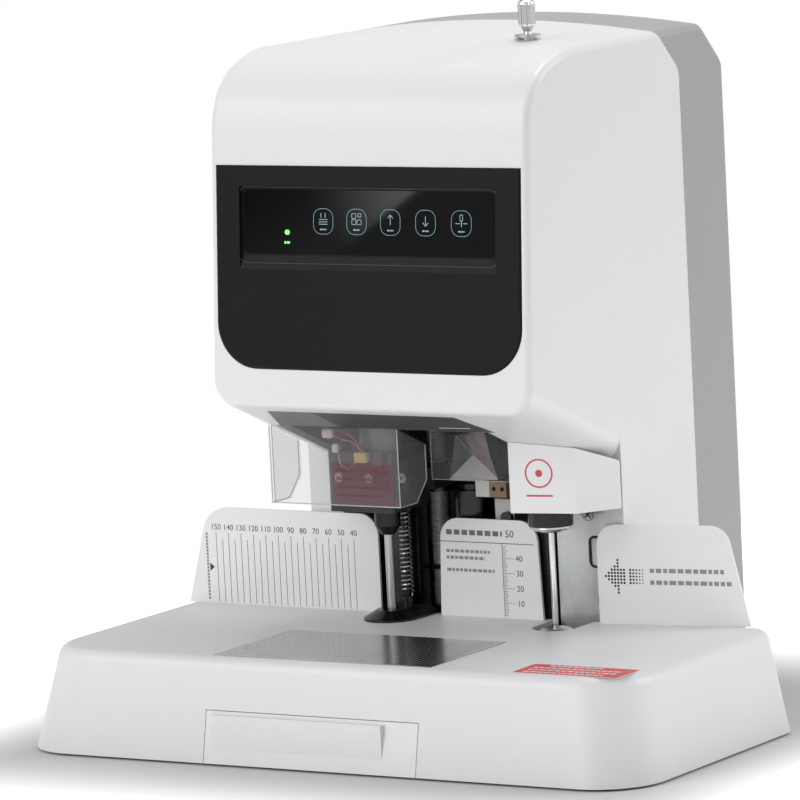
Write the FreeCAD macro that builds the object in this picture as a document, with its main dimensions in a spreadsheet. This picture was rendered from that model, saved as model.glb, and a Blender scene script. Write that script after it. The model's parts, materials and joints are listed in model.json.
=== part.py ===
"""Desk riveting machine for documents: a drill station and a hot riveting station.

Millimetres, +Z up, +X to the operator's right, -Y towards the operator.
The origin is at the middle of the footprint, at the height of the table.
"""
import FreeCAD
import Part
import Sketcher
import math
import os
from FreeCAD import Placement, Rotation, Vector

# Driving dimensions, in millimetres unless the name ends in share, count or angle.
SIZES = {
    # Base tray
    "tray_width": 468.0,
    "tray_front": 180.0,
    "tray_rear": 34.0,
    "deck_height": 68.4,
    "tray_rim_height": 1.5,
    "tray_draft": 14.0,
    "tray_front_corner": 42.0,
    "tray_rear_corner": 12.0,
    "tray_edge_round": 9.0,
    "tray_wall": 3.0,
    # Body housing
    "body_width": 241.0,
    "body_rear": 180.0,
    "column_front": 19.5,
    "head_front": 92.8,
    "head_bottom": 220.8,
    "head_side_top": 448.0,
    "crown_rise": 9.5,
    "face_lean": 17.1,
    "belly_low": 173.3,
    "brow_drop": 15.0,
    "brow_run": 49.5,
    "brow_round": 48.0,
    "crease_round": 60.0,
    "rear_chamfer_depth": 27.5,
    "rear_chamfer_height": 27.0,
    "rear_corner_round": 12.0,
    "seam_setback": 61.0,
    "seam_gap": 0.3,
    "housing_wall": 3.0,
    "side_round": 5.0,
    "belly_round": 18.0,
    # Openings in the housing
    "belly_opening_front": 49.0,
    "belly_opening_left": 100.0,
    "belly_opening_right": 62.5,
    "rivet_opening_front": 16.8,
    "rivet_opening_left": 67.5,
    "rivet_opening_right": 97.0,
    "column_opening_left": 95.0,
    "column_opening_right": 106.0,
    # Control panel
    "fascia_half_width": 115.2,
    "fascia_low": 246.0,
    "fascia_high": 378.0,
    "fascia_corner": 30.0,
    "fascia_lean_angle": 4.3,
    "fascia_proud": 1.2,
    "fascia_recess": 1.8,
    "fascia_border": 7.5,
    "fascia_depth": 7.8,
    "fascia_rim": 1.0,
    "panel_fit": 0.3,
    "glass_half_width": 97.0,
    "glass_low": 320.0,
    "glass_high": 364.6,
    "glass_corner": 3.5,
    "glass_thick": 2.0,
    "glass_recess": 3.0,
    "ledge_drop": 9.0,
    "lamp_across": 62.0,
    "lamp_height": 335.0,
    "lamp_radius": 1.6,
    "board_thick": 1.6,
    "board_margin": 6.0,
    # Base contents
    "base_plate_thick": 2.0,
    "base_plate_height": 3.0,
    "base_plate_inset": 4.2,
    "foot_radius": 9.0,
    "foot_inset": 30.0,
    "drawer_left": 84.5,
    "drawer_right": 75.5,
    "drawer_height": 35.0,
    "drawer_bottom": 5.5,
    "drawer_box_right": 50.0,
    "drawer_box_rear": 12.0,
    "drawer_wall": 2.0,
    "drawer_fit": 0.5,
    "runner_width": 6.0,
    "runner_height": 10.0,
    # Deck pieces
    "work_plate_left": 87.5,
    "work_plate_right": 77.5,
    "work_plate_front": 158.0,
    "work_plate_rear": 64.5,
    "work_plate_thick": 0.8,
    "work_plate_proud": 0.4,
    "fence_back": 13.8,
    "fence_thick": 2.0,
    "fence_top": 134.0,
    "fence_tab_depth": 9.0,
    "fence_tab_inset": 14.0,
    "fence_tab_width": 20.0,
    "fence_fit": 0.3,
    "left_fence_outer": 218.8,
    "left_fence_inner": 65.4,
    "left_fence_slant": 18.5,
    "centre_fence_left": 18.7,
    "centre_fence_right": 59.7,
    "centre_fence_splay": 2.5,
    "fence_round": 14.0,
    "fence_outer_round": 20.0,
    "right_fence_left": 102.5,
    "right_fence_length": 105.0,
    "right_fence_slant": 14.8,
    "right_fence_angle": 8.0,
    # Drill station
    "drill_across": 44.5,
    "axis_front": 6.2,
    "bit_radius": 2.85,
    "bit_bore": 2.0,
    "bit_low": 72.0,
    "bit_high": 132.0,
    "chuck_radius": 8.7,
    "chuck_nose_radius": 4.6,
    "chuck_low": 125.0,
    "chuck_nose_height": 6.0,
    "chuck_top": 141.5,
    "spindle_radius": 5.0,
    "head_block_left": 33.0,
    "head_block_right": 17.0,
    "head_block_front": 19.0,
    "head_block_rear": 27.5,
    "head_block_low": 142.0,
    "arm_low": 152.0,
    "head_block_high": 182.0,
    "arm_thick": 14.0,
    "spindle_motor_radius": 16.5,
    "spindle_motor_height": 62.0,
    "motor_end": 4.0,
    "head_block_round": 3.0,
    "motor_shell_wall": 1.5,
    "drill_foot_width": 38.0,
    "drill_foot_rim": 1.4,
    "drill_foot_slope": 9.0,
    "drill_foot_height": 6.6,
    "drill_foot_bore": 5.5,
    "cutting_pad_radius": 9.0,
    "cutting_pad_thick": 8.0,
    "spring_across": 45.5,
    "spring_back": 16.3,
    "spring_radius": 4.0,
    "spring_wire": 1.1,
    "spring_low": 80.0,
    "spring_boss_radius": 5.2,
    "spring_rod_high": 212.0,
    "spring_rod_radius": 2.4,
    "screw_across": 34.9,
    "screw_back": 44.0,
    "screw_radius": 6.0,
    "screw_end_radius": 4.0,
    "screw_low": 70.0,
    "screw_high": 318.0,
    "nut_radius": 10.5,
    "nut_flange_radius": 14.0,
    "nut_flange_thick": 4.0,
    "guide_rod_across": 80.0,
    "guide_rod_back": 44.0,
    "guide_rod_radius": 5.0,
    "lift_motor_across": 1.5,
    "lift_motor_back": 34.0,
    "lift_motor_radius": 14.5,
    "lift_motor_high": 155.0,
    "guard_left": 76.0,
    "guard_right": 39.0,
    "guard_back": 22.0,
    "guard_depth": 12.0,
    "guard_wall": 1.6,
    "guard_top": 138.0,
    # Rivet station
    "rivet_across": 80.7,
    "needle_radius": 2.0,
    "needle_low": 64.0,
    "needle_high": 470.0,
    "knob_radius": 5.6,
    "knob_high": 479.0,
    "knob_tip_radius": 2.6,
    "knob_tip_height": 5.0,
    "bush_radius": 8.4,
    "bush_seat": 454.5,
    "bush_thick": 1.4,
    "bush_stem_radius": 4.0,
    "bush_stem_length": 11.0,
    "die_radius": 12.6,
    "die_top": 68.2,
    "die_dome": 2.4,
    "die_rim": 3.0,
    "die_stem_radius": 8.0,
    "die_low": 46.0,
    "die_bore": 2.6,
    "die_heater_size": 30.0,
    "die_heater_height": 16.0,
    "die_post_radius": 10.0,
    "notch_half_width": 15.0,
    "ring_radius": 14.8,
    "ring_low": 136.0,
    "ring_high": 165.0,
    "press_disc_radius": 12.0,
    "press_disc_tip": 7.5,
    "press_disc_low": 131.8,
    "press_tube_radius": 9.0,
    "press_bore": 6.0,
    "press_block_low": 256.0,
    "press_block_high": 280.0,
    "press_block_half": 24.0,
    "press_block_front": 20.0,
    "press_seat": 12.0,
    "press_guide_offset": 16.5,
    "press_motor_radius": 20.0,
    "press_motor_height": 70.0,
    "press_screw_back": 44.0,
    "cover_left": 63.5,
    "cover_crease": 108.5,
    "cover_front": 27.4,
    "cover_crease_front": 19.0,
    "cover_end": 125.5,
    "cover_end_back": 8.0,
    "cover_return": 122.0,
    "cover_return_back": 15.0,
    "cover_low": 146.3,
    "cover_wall": 2.0,
    "station_plate_left": 67.0,
    "station_plate_right": 113.5,
    "station_plate_back": 24.0,
    "station_plate_thick": 2.5,
    "station_plate_high": 183.0,
    "slot_centre_across": 97.5,
    "slot_half_width": 6.0,
    "slot_corner": 3.5,
    "slot_low": 104.0,
    "slot_high": 123.5,
    "duct_left": 49.5,
    "duct_right": 62.0,
    "duct_front": 20.0,
    "duct_back": 35.5,
    "duct_high": 150.0,
    # Frame
    "frame_side_left": 109.0,
    "frame_side_right": 114.0,
    "frame_front": 26.8,
    "frame_rear": 120.0,
    "frame_high": 330.0,
    "frame_thick": 3.0,
    "shelf_low": 95.0,
    "shelf_front": 36.0,
    "tongue_front": 20.0,
    "tongue_left": 18.0,
    "tongue_right": 46.0,
    "rod_bush_radius": 8.0,
    # Clear guards
    "shield_left": 107.0,
    "shield_right": 7.0,
    "shield_front": 49.0,
    "shield_depth": 35.0,
    "shield_low": 150.0,
    "shield_wall": 2.0,
    "shield_cut": 14.0,
    "second_guard_left": 15.0,
    "second_guard_right": 48.0,
    "second_guard_back": 4.0,
    "second_guard_low": 161.0,
    # Mechanism pieces seen behind the guards
    "post_left": 26.0,
    "post_right": 34.0,
    "post_front": 22.0,
    "post_back": 28.0,
    "post_high": 205.0,
    "post_arm_low": 192.0,
    "terminal_left": 27.0,
    "terminal_width": 12.5,
    "terminal_low": 150.0,
    "terminal_high": 161.0,
    "terminal_depth": 14.0,
    "flag_left": 16.2,
    "flag_thick": 1.6,
    "bracket_left": 23.0,
    "bracket_right": 37.0,
    "bracket_low": 129.5,
    "bracket_high": 147.0,
    "limit_switch_across": 33.0,
    "limit_switch_height": 135.0,
    "limit_switch_radius": 4.0,
    "limit_switch_length": 3.8,
    # Rear and electrics
    "inlet_across": 70.0,
    "inlet_height": 50.0,
    "inlet_width": 48.0,
    "inlet_tall": 27.5,
    "inlet_depth": 24.0,
    "inlet_cavity_width": 24.5,
    "inlet_cavity_tall": 17.0,
    "inlet_cavity_depth": 15.0,
    "inlet_lip": 2.0,
    "inlet_pin_pitch": 7.0,
    "inlet_pin_rise": 3.8,
    "inlet_pin_width": 4.0,
    "inlet_pin_short": 2.0,
    "switch_across": 70.0,
    "switch_height": 92.0,
    "switch_width": 21.0,
    "switch_tall": 15.0,
    "switch_depth": 18.0,
    "switch_fit": 0.8,
    "rocker_pivot_depth": 3.5,
    "rocker_pivot_radius": 1.2,
    "rocker_pivot_reach": 1.2,
    "rocker_sink": 0.5,
    "rocker_dip": 2.5,
    "rocker_depth": 9.0,
    "vent_width": 130.0,
    "vent_slot": 3.0,
    "vent_pitch": 8.0,
    "vent_low": 230.0,
    "supply_left": 100.0,
    "supply_back": 128.0,
    "supply_width": 90.0,
    "supply_depth": 40.0,
    "supply_height": 60.0,
    # Fasteners and general fits
    "screw_head_radius": 3.2,
    "screw_head_thick": 2.0,
    "screw_shank_radius": 1.5,
    "head_screw_offset": 23.4,
    "head_screw_height": 165.0,
    "clamp_width": 8.0,
    "clamp_thick": 4.0,
    "clamp_setback": 7.2,
    "clamp_low": 157.0,
    "clamp_high": 178.0,
    "plate_screw_offset": 11.3,
    "plate_screw_height": 138.7,
    "plate_screw_low": 82.0,
    "big_screw_head_radius": 4.4,
    "soft_gap": 0.3,
    "running_gap": 0.05,
    "overrun": 5.0,
}
COIL_COUNT = 19
VENT_COUNT = 8

DOCUMENT = FreeCAD.newDocument("riveting_machine")
SHEET = DOCUMENT.addObject("Spreadsheet::Sheet", "Sizes")
NODES = {}


class Size:
    """A length that carries its number and the sheet formula that gives it."""

    def __init__(self, formula, number):
        self.formula = formula
        self.number = number

    def __add__(self, other):
        return Size(f"({self.formula} + {formula_of(other)})", self.number + number_of(other))

    def __radd__(self, other):
        return Size(f"({formula_of(other)} + {self.formula})", number_of(other) + self.number)

    def __sub__(self, other):
        return Size(f"({self.formula} - {formula_of(other)})", self.number - number_of(other))

    def __rsub__(self, other):
        return Size(f"({formula_of(other)} - {self.formula})", number_of(other) - self.number)

    def __mul__(self, other):
        return Size(f"({self.formula} * {formula_of(other)})", self.number * number_of(other))

    def __rmul__(self, other):
        return self * other

    def __truediv__(self, other):
        return Size(f"({self.formula} / {formula_of(other)})", self.number / number_of(other))

    def __neg__(self):
        return Size(f"(0 - {self.formula})", -self.number)


def formula_of(size):
    return size.formula if isinstance(size, Size) else repr(size)


def number_of(size):
    return size.number if isinstance(size, Size) else float(size)


class Sheet:
    """The driving dimensions, read as attributes."""

    def __init__(self):
        for row, (name, number) in enumerate(SIZES.items(), start=1):
            SHEET.set(f"A{row}", name)
            SHEET.set(f"B{row}", repr(number))
            SHEET.setAlias(f"B{row}", name)
            setattr(self, name, Size(f"Sizes.{name}", number))
        DOCUMENT.recompute()


d = Sheet()


def bind(item, prop, size):
    """Ties one property of an object to the sheet."""
    item.setExpression(prop, formula_of(size))


def keep(node, item):
    """Names a finished sub-part."""
    item.Label = node
    NODES[node] = item
    return item


def block(name, x, y, z):
    """Box between a low and a high size on each axis."""
    item = DOCUMENT.addObject("Part::Box", name)
    for length, place, (low, high) in zip(("Length", "Width", "Height"), "xyz", (x, y, z)):
        bind(item, length, high - low)
        bind(item, f"Placement.Base.{place}", low)
    return item


def rod(name, radius, place, z):
    """Upright cylinder at a place (x, y) between two heights."""
    item = DOCUMENT.addObject("Part::Cylinder", name)
    bind(item, "Radius", radius)
    bind(item, "Height", z[1] - z[0])
    bind(item, "Placement.Base.x", place[0])
    bind(item, "Placement.Base.y", place[1])
    bind(item, "Placement.Base.z", z[0])
    return item


def rod_back(name, radius, x, y, z):
    """Cylinder along Y from y[0] to y[1]."""
    item = DOCUMENT.addObject("Part::Cylinder", name)
    item.Placement = Placement(Vector(), Rotation(Vector(1, 0, 0), -90))
    bind(item, "Radius", radius)
    bind(item, "Height", y[1] - y[0])
    bind(item, "Placement.Base.x", x)
    bind(item, "Placement.Base.y", y[0])
    bind(item, "Placement.Base.z", z)
    return item


def cut(name, base, *tools):
    """Base less each tool in turn; a tool that removes nothing is an error."""
    item = base
    for count, tool in enumerate(tools):
        before = item
        item = DOCUMENT.addObject("Part::Cut", f"{name}_cut{count}")
        item.Base = before
        item.Tool = tool
        DOCUMENT.recompute([item])
        if item.Shape.isNull() or item.Shape.Volume >= before.Shape.Volume:
            raise ValueError(f"{name}: cut {count} by {tool.Label} removes nothing")
    return item


def common(name, base, tool):
    item = DOCUMENT.addObject("Part::Common", name)
    item.Base = base
    item.Tool = tool
    return item


def group(name, pieces):
    """Separate equal solids that share one node."""
    item = DOCUMENT.addObject("Part::Compound", name)
    item.Links = list(pieces)
    return item


PLANES = {"top": "XY_Plane", "front": "XZ_Plane", "side": "YZ_Plane"}


class Piece:
    """One body of sketched features, all bound to the sheet."""

    def __init__(self, name):
        self.name = name
        self.body = DOCUMENT.addObject("PartDesign::Body", name)
        self.tip = None
        self.count = 0

    def feature(self, kind, suffix):
        self.count += 1
        self.tip = self.body.newObject(kind, f"{self.name}_{suffix}{self.count}")
        return self.tip

    def blank_sketch(self, plane, offset, origin=(0, 0)):
        """Sketch on an origin plane; offset runs along the plane's own axis."""
        self.count += 1
        sketch = self.body.newObject("Sketcher::SketchObject", f"{self.name}_outline{self.count}")
        for feature in self.body.Origin.OriginFeatures:
            if feature.Role == PLANES[plane]:
                sketch.AttachmentSupport = [(feature, "")]
        sketch.MapMode = "FlatFace"
        along = -offset if plane == "front" and isinstance(offset, Size) else offset
        bind(sketch, "AttachmentOffset.Base.z", along)
        bind(sketch, "AttachmentOffset.Base.x", origin[0])
        bind(sketch, "AttachmentOffset.Base.y", origin[1])
        return sketch

    def outline(self, plane, corners, offset, origin=(0, 0)):
        """Closed outline through corners (across, up) or (across, up, radius)."""
        sketch = self.blank_sketch(plane, offset, origin)
        draw_outline(sketch, corners)
        return sketch

    def circles(self, plane, rounds, offset, origin=(0, 0)):
        """Sketch of full circles, each (across, up, radius)."""
        sketch = self.blank_sketch(plane, offset, origin)
        for across, up, radius in rounds:
            centre = Vector(number_of(across), number_of(up), 0)
            line = sketch.addGeometry(Part.Circle(centre, Vector(0, 0, 1), number_of(radius)))
            pin_point(sketch, line, 3, across, up)
            constrain(sketch, ("Radius", line), radius)
        return sketch

    def pad(self, plane, corners, span):
        """Pads an outline between two places along the plane's axis."""
        low, high = span
        sketch = self.outline(plane, corners, high if plane == "front" else low)
        return self.pad_sketch(sketch, high - low)

    def pad_sketch(self, sketch, length):
        pad = self.feature("PartDesign::Pad", "pad")
        pad.Profile = sketch
        bind(pad, "Length", length)
        return self

    def pocket(self, plane, corners, span):
        low, high = span
        sketch = self.outline(plane, corners, low if plane == "front" else high)
        return self.pocket_sketch(sketch, high - low)

    def holes(self, plane, rounds, span):
        low, high = span
        sketch = self.circles(plane, rounds, low if plane == "front" else high)
        return self.pocket_sketch(sketch, high - low)

    def pocket_sketch(self, sketch, length):
        DOCUMENT.recompute()
        before = self.body.Shape.Volume
        pocket = self.feature("PartDesign::Pocket", "pocket")
        pocket.Profile = sketch
        bind(pocket, "Length", length)
        DOCUMENT.recompute()
        if self.body.Shape.isNull() or self.body.Shape.Volume >= before:
            raise ValueError(f"{self.name}: a pocket removes nothing")
        return self

    def revolve(self, corners, place):
        """Turns an outline of (radius, height) about an upright axis at a place (x, y)."""
        sketch = self.outline("front", corners, place[1], (place[0], 0))
        turn = self.feature("PartDesign::Revolution", "turn")
        turn.Profile = sketch
        turn.ReferenceAxis = (sketch, ["V_Axis"])
        turn.Angle = 360
        return self

    def remove(self, other):
        """Takes another body away from this one."""
        DOCUMENT.recompute()
        before = self.body.Shape.Volume
        cutter = self.feature("PartDesign::Boolean", "less")
        cutter.setObjects([other])
        cutter.Type = "Cut"
        DOCUMENT.recompute()
        if self.body.Shape.isNull() or self.body.Shape.Volume >= before:
            raise ValueError(f"{self.name}: {other.Label} removes nothing")
        return self

    def soften(self, radius, chooses, kind="Fillet"):
        """Rounds or bevels the edges that the test picks."""
        DOCUMENT.recompute()
        base = self.tip
        names = [f"Edge{i}" for i, edge in enumerate(base.Shape.Edges, start=1) if chooses(edge)]
        if not names:
            raise ValueError(f"{self.name}: no edge to soften")
        item = self.feature(f"PartDesign::{kind}", "soft")
        item.Base = (base, names)
        bind(item, "Radius" if kind == "Fillet" else "Size", radius)
        DOCUMENT.recompute()
        return self

    def turned(self, base, axis, angle):
        """Places the body at base, turned by an angle about an axis."""
        self.body.Placement = Placement(Vector(), Rotation(axis, number_of(angle)))
        for place, size in zip("xyz", base):
            bind(self.body, f"Placement.Base.{place}", size)
        bind(self.body, "Placement.Rotation.Angle", angle)
        return self


def constrain(sketch, what, size):
    """Adds a sized constraint and ties it to the sheet."""
    index = sketch.addConstraint(Sketcher.Constraint(*what, number_of(size)))
    if isinstance(size, Size):
        bind(sketch, f"Constraints[{index}]", size)
    return index


def pin_point(sketch, line, end, across, up):
    """Fixes a point of the sketch at sheet sizes from the sketch's origin."""
    for kind, axis, size in (("DistanceX", -2, across), ("DistanceY", -1, up)):
        if number_of(size) == 0 and not isinstance(size, Size):
            sketch.addConstraint(Sketcher.Constraint("PointOnObject", line, end, axis))
        else:
            constrain(sketch, (kind, -1, 1, line, end), size)


def draw_outline(sketch, corners):
    """Straight sides with tangent arcs at the rounded corners."""
    points = [Vector(number_of(c[0]), number_of(c[1]), 0) for c in corners]
    radii = [c[2] if len(c) > 2 else None for c in corners]
    entries, exits, arcs = [], [], []
    for i, point in enumerate(points):
        before = (points[i - 1] - point).normalize()
        after = (points[(i + 1) % len(points)] - point).normalize()
        if radii[i] is None:
            entries.append(point)
            exits.append(point)
            arcs.append(None)
            continue
        half = before.getAngle(after) / 2
        radius = number_of(radii[i])
        reach = radius / math.tan(half)
        centre = point + (before + after).normalize() * (radius / math.sin(half))
        entry = point + before * reach
        leave = point + after * reach
        entries.append(entry)
        exits.append(leave)
        turn_left = before.cross(after).z < 0
        start, end = (entry, leave) if turn_left else (leave, entry)
        middle = centre + (point - centre).normalize() * radius
        arcs.append((Part.Arc(start, middle, end), turn_left))
    lines = []
    for i in range(len(points)):
        segment = Part.LineSegment(exits[i], entries[(i + 1) % len(points)])
        lines.append(sketch.addGeometry(segment))
    for i, corner in enumerate(corners):
        before, after = lines[i - 1], lines[i]
        if arcs[i] is None:
            sketch.addConstraint(Sketcher.Constraint("Coincident", before, 2, after, 1))
            pin_point(sketch, after, 1, corner[0], corner[1])
            continue
        arc, turn_left = arcs[i]
        curve = sketch.addGeometry(arc)
        corner_point = sketch.addGeometry(Part.Point(points[i]), True)
        first, last = (1, 2) if turn_left else (2, 1)
        sketch.addConstraint(Sketcher.Constraint("Tangent", before, 2, curve, first))
        sketch.addConstraint(Sketcher.Constraint("Tangent", after, 1, curve, last))
        sketch.addConstraint(Sketcher.Constraint("PointOnObject", corner_point, 1, before))
        sketch.addConstraint(Sketcher.Constraint("PointOnObject", corner_point, 1, after))
        pin_point(sketch, corner_point, 1, corner[0], corner[1])
        constrain(sketch, ("Radius", curve), radii[i])


def near(value, size, margin=0.01):
    return abs(value - number_of(size)) < margin


def rectangle(x, y, radius=None):
    """Corners of a rectangle between two pairs of sizes."""
    corners = [(x[0], y[0]), (x[1], y[0]), (x[1], y[1]), (x[0], y[1])]
    return corners if radius is None else [corner + (radius,) for corner in corners]


# Places that several pieces share.
DRILL = (-d.drill_across, -d.axis_front)
RIVET = (d.rivet_across, -d.axis_front)
SPRING = (-d.spring_across, d.spring_back)
SCREW = (-d.screw_across, d.screw_back)
PRESS_SCREW = (d.rivet_across, d.press_screw_back)
GUIDE = (-d.guide_rod_across, d.guide_rod_back)
PRESS_GUIDE = (d.rivet_across + d.press_guide_offset, d.press_screw_back)
LIFT_MOTOR = (-d.lift_motor_across, d.lift_motor_back)
HALF_TRAY = d.tray_width / 2
HALF_BODY = d.body_width / 2
PLATE_TOP = d.base_plate_height + d.base_plate_thick
SHELF_TOP = d.shelf_low + d.frame_thick
FRAME_TOP = d.frame_high + d.frame_thick
ZERO = Size("0", 0)
INLET = (d.inlet_across, d.inlet_height)
SWITCH = (d.switch_across, d.switch_height)
REAR_HOLES = (
    (INLET, d.inlet_width, d.inlet_tall),
    (SWITCH, d.switch_width, d.switch_tall),
)
REAR_FITTINGS = (
    ("power_inlet", INLET, d.inlet_width, d.inlet_tall, d.inlet_depth),
    ("switch_frame", SWITCH, d.switch_width, d.switch_tall, d.switch_depth),
)


def tray_form(name, inset):
    """Solid tray shape with sloped front and sides, drawn in by an inset all round."""
    piece = Piece(name)
    low, high = d.tray_rim_height, d.deck_height - inset
    half = HALF_TRAY - inset
    front = -d.tray_front + inset
    rear = d.tray_rear - inset
    side = [(front, low), (rear, low), (rear, high), (front + d.tray_draft, high)]
    piece.pad("side", side, (-half, half))
    for sign in (-1, 1):
        outer = (half + d.overrun) * sign
        wedge = [
            (half * sign, low),
            ((half - d.tray_draft) * sign, high),
            (outer, high),
            (outer, low),
        ]
        piece.pocket("front", wedge, (front - d.overrun, rear + d.overrun))
    piece.soften(d.tray_front_corner - inset, lambda e: is_upright(e) and e.BoundBox.YMin < 0)
    piece.soften(d.tray_rear_corner - inset, lambda e: is_upright(e) and e.BoundBox.YMin > 0)
    if inset:
        piece.soften(d.tray_edge_round * BEVEL_SHARE, lambda e: near(e.BoundBox.ZMin, high), "Chamfer")
    else:
        piece.soften(d.tray_edge_round, lambda e: near(e.BoundBox.ZMin, high))
    return piece


def is_upright(edge):
    """True for the full-height corner edges of the tray."""
    box = edge.BoundBox
    return len(edge.Vertexes) == 2 and box.ZLength > number_of(d.deck_height) / 2


def base_tray():
    piece = tray_form("base_tray_shell", 0)
    piece.remove(tray_form("base_tray_hollow", d.tray_wall).body)
    cup_and_openings(piece)
    for fence in FENCES:
        fence_slots(piece, fence)
    recess = rectangle(
        (-d.work_plate_left - d.panel_fit, d.work_plate_right + d.panel_fit),
        (-d.work_plate_front - d.panel_fit, -d.work_plate_rear + d.panel_fit),
    )
    depth = d.work_plate_thick - d.work_plate_proud
    piece.pocket("top", recess, (d.deck_height - depth, d.deck_height))
    tools = right_fence_slots()
    return keep("base_tray", cut("base_tray_slotted", piece.body, *tools))


def cup_and_openings(piece):
    """Cup for the cutting pad, die notch, column notch and drawer opening."""
    pad_fit = d.cutting_pad_radius + d.panel_fit
    cup_low = d.deck_height - d.cutting_pad_thick - d.tray_wall
    cup = piece.circles("top", [DRILL + (pad_fit + d.tray_wall,)], cup_low)
    piece.pad_sketch(cup, d.cutting_pad_thick)
    pad_floor = d.deck_height - d.cutting_pad_thick
    piece.holes("top", [DRILL + (pad_fit,)], (pad_floor, d.deck_height))
    over = d.deck_height + d.overrun
    fit = d.drawer_fit
    notch = rectangle(
        (d.rivet_across - d.notch_half_width, d.rivet_across + d.notch_half_width),
        (-d.axis_front - d.notch_half_width, d.tray_rear),
    )
    notch[0] += (d.notch_half_width * NOTCH_CORNER_SHARE,)
    notch[1] += (d.notch_half_width * NOTCH_CORNER_SHARE,)
    piece.pocket("top", notch, (d.die_low, over))
    column = rectangle(
        (-HALF_BODY - d.seam_gap, HALF_BODY + d.seam_gap),
        (d.column_front - d.seam_gap, d.tray_rear + d.overrun),
    )
    piece.pocket("top", column, (-d.overrun, over))
    opening = rectangle(
        (-d.drawer_left - fit, d.drawer_right + fit),
        (-d.overrun, d.drawer_height + fit),
    )
    inside = -d.tray_front + d.tray_draft + d.tray_wall * 2
    piece.pocket("front", opening, (-d.tray_front - d.overrun, inside))


NOTCH_CORNER_SHARE = 0.9
FENCES = ("left", "centre")


def fence_span(fence):
    if fence == "left":
        return -d.left_fence_outer, -d.left_fence_inner
    return -d.centre_fence_left, d.centre_fence_right


def tab_spans(low, high):
    inset, width = d.fence_tab_inset, d.fence_tab_width
    return [(low + inset, low + inset + width), (high - inset - width, high - inset)]


def fence_slots(piece, fence):
    fit = d.fence_fit
    low = d.deck_height - d.tray_wall - d.overrun
    y = (d.fence_back - fit, d.fence_back + d.fence_thick + fit)
    for left, right in tab_spans(*fence_span(fence)):
        slot = rectangle((left - fit, right + fit), y)
        piece.pocket("top", slot, (low, d.deck_height))


def right_fence_slots():
    """Cutters for the slots of the angled fence, in that fence's own directions."""
    fit = d.fence_fit
    tools = []
    for count, (left, right) in enumerate(tab_spans(RIGHT_FENCE_START, d.right_fence_length)):
        piece = Piece(f"right_fence_slot{count}")
        outline = rectangle((left - fit, right + fit), (-fit, d.fence_thick + fit))
        low = d.deck_height - d.tray_wall - d.overrun
        piece.pad("top", outline, (low, d.deck_height + d.overrun))
        tools.append(place_right_fence(piece).body)
    return tools


RIGHT_FENCE_START = d.right_fence_length - d.right_fence_length


def place_right_fence(piece):
    base = (d.right_fence_left, d.fence_back, Size("0", 0))
    return piece.turned(base, Vector(0, 0, 1), d.right_fence_angle)


def fence_plate(piece, corners, low, high, y):
    piece.pad("front", corners, y)
    tab_low = d.deck_height - d.fence_tab_depth
    for left, right in tab_spans(low, high):
        tab = rectangle((left, right), (tab_low, d.deck_height + d.soft_gap))
        piece.pad("front", tab, y)


def left_fence():
    piece = Piece("left_fence_plate")
    low, high = fence_span("left")
    corners = [
        (low, d.deck_height),
        (high, d.deck_height),
        (high, d.fence_top, d.fence_round),
        (low + d.left_fence_slant, d.fence_top, d.fence_outer_round),
    ]
    y = (d.fence_back, d.fence_back + d.fence_thick)
    fence_plate(piece, corners, low, high, y)
    return keep("left_fence", piece.body)


def centre_fence():
    piece = Piece("centre_fence_plate")
    low, high = fence_span("centre")
    corners = [
        (low, d.deck_height),
        (high, d.deck_height),
        (high - d.centre_fence_splay, d.fence_top, d.fence_round),
        (low + d.centre_fence_splay, d.fence_top, d.fence_round),
    ]
    y = (d.fence_back, d.fence_back + d.fence_thick)
    fence_plate(piece, corners, low, high, y)
    return keep("centre_fence", piece.body)


def right_fence():
    piece = Piece("right_fence_plate")
    low, high = RIGHT_FENCE_START, d.right_fence_length
    corners = [
        (low, d.deck_height),
        (high, d.deck_height),
        (high - d.right_fence_slant, d.fence_top, d.fence_round),
        (low, d.fence_top, d.fence_round),
    ]
    fence_plate(piece, corners, low, high, (RIGHT_FENCE_START, d.fence_thick))
    return keep("right_fence", place_right_fence(piece).body)


def base_plate():
    piece = Piece("base_plate_sheet")
    inset = d.base_plate_inset
    z = (d.base_plate_height, PLATE_TOP)
    half = HALF_TRAY - inset
    corners = rectangle((-half, half), (-d.tray_front + inset, d.tray_rear - inset))
    for count, corner in enumerate(corners):
        is_front = count < 2
        corners[count] = corner + ((d.tray_front_corner if is_front else d.tray_rear_corner),)
    piece.pad("top", corners, z)
    tail_half = HALF_BODY - d.housing_wall - d.fence_fit
    tail = rectangle((-tail_half, tail_half), (0, d.body_rear - d.housing_wall - d.fence_fit))
    piece.pad("top", tail, z)
    return keep("base_plate", piece.body)


def rubber_feet():
    half = HALF_TRAY - d.foot_inset
    body_half = HALF_BODY - d.foot_inset
    places = []
    for side in (-half, half):
        places.append((side, -d.tray_front + d.foot_inset))
        places.append((side, d.tray_rear - d.foot_inset))
    for side in (-body_half, body_half):
        places.append((side, d.body_rear - d.foot_inset))
    feet = []
    for count, place in enumerate(places):
        z = (0, d.base_plate_height)
        feet.append(rod(f"rubber_foot{count}", d.foot_radius, place, z))
    return keep("rubber_feet", group("rubber_feet_set", feet))


def work_plate():
    piece = Piece("work_plate_sheet")
    x = (-d.work_plate_left, d.work_plate_right)
    y = (-d.work_plate_front, -d.work_plate_rear)
    low = d.deck_height - d.work_plate_thick + d.work_plate_proud
    piece.pad("top", rectangle(x, y), (low, d.deck_height + d.work_plate_proud))
    return keep("work_plate", piece.body)


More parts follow.
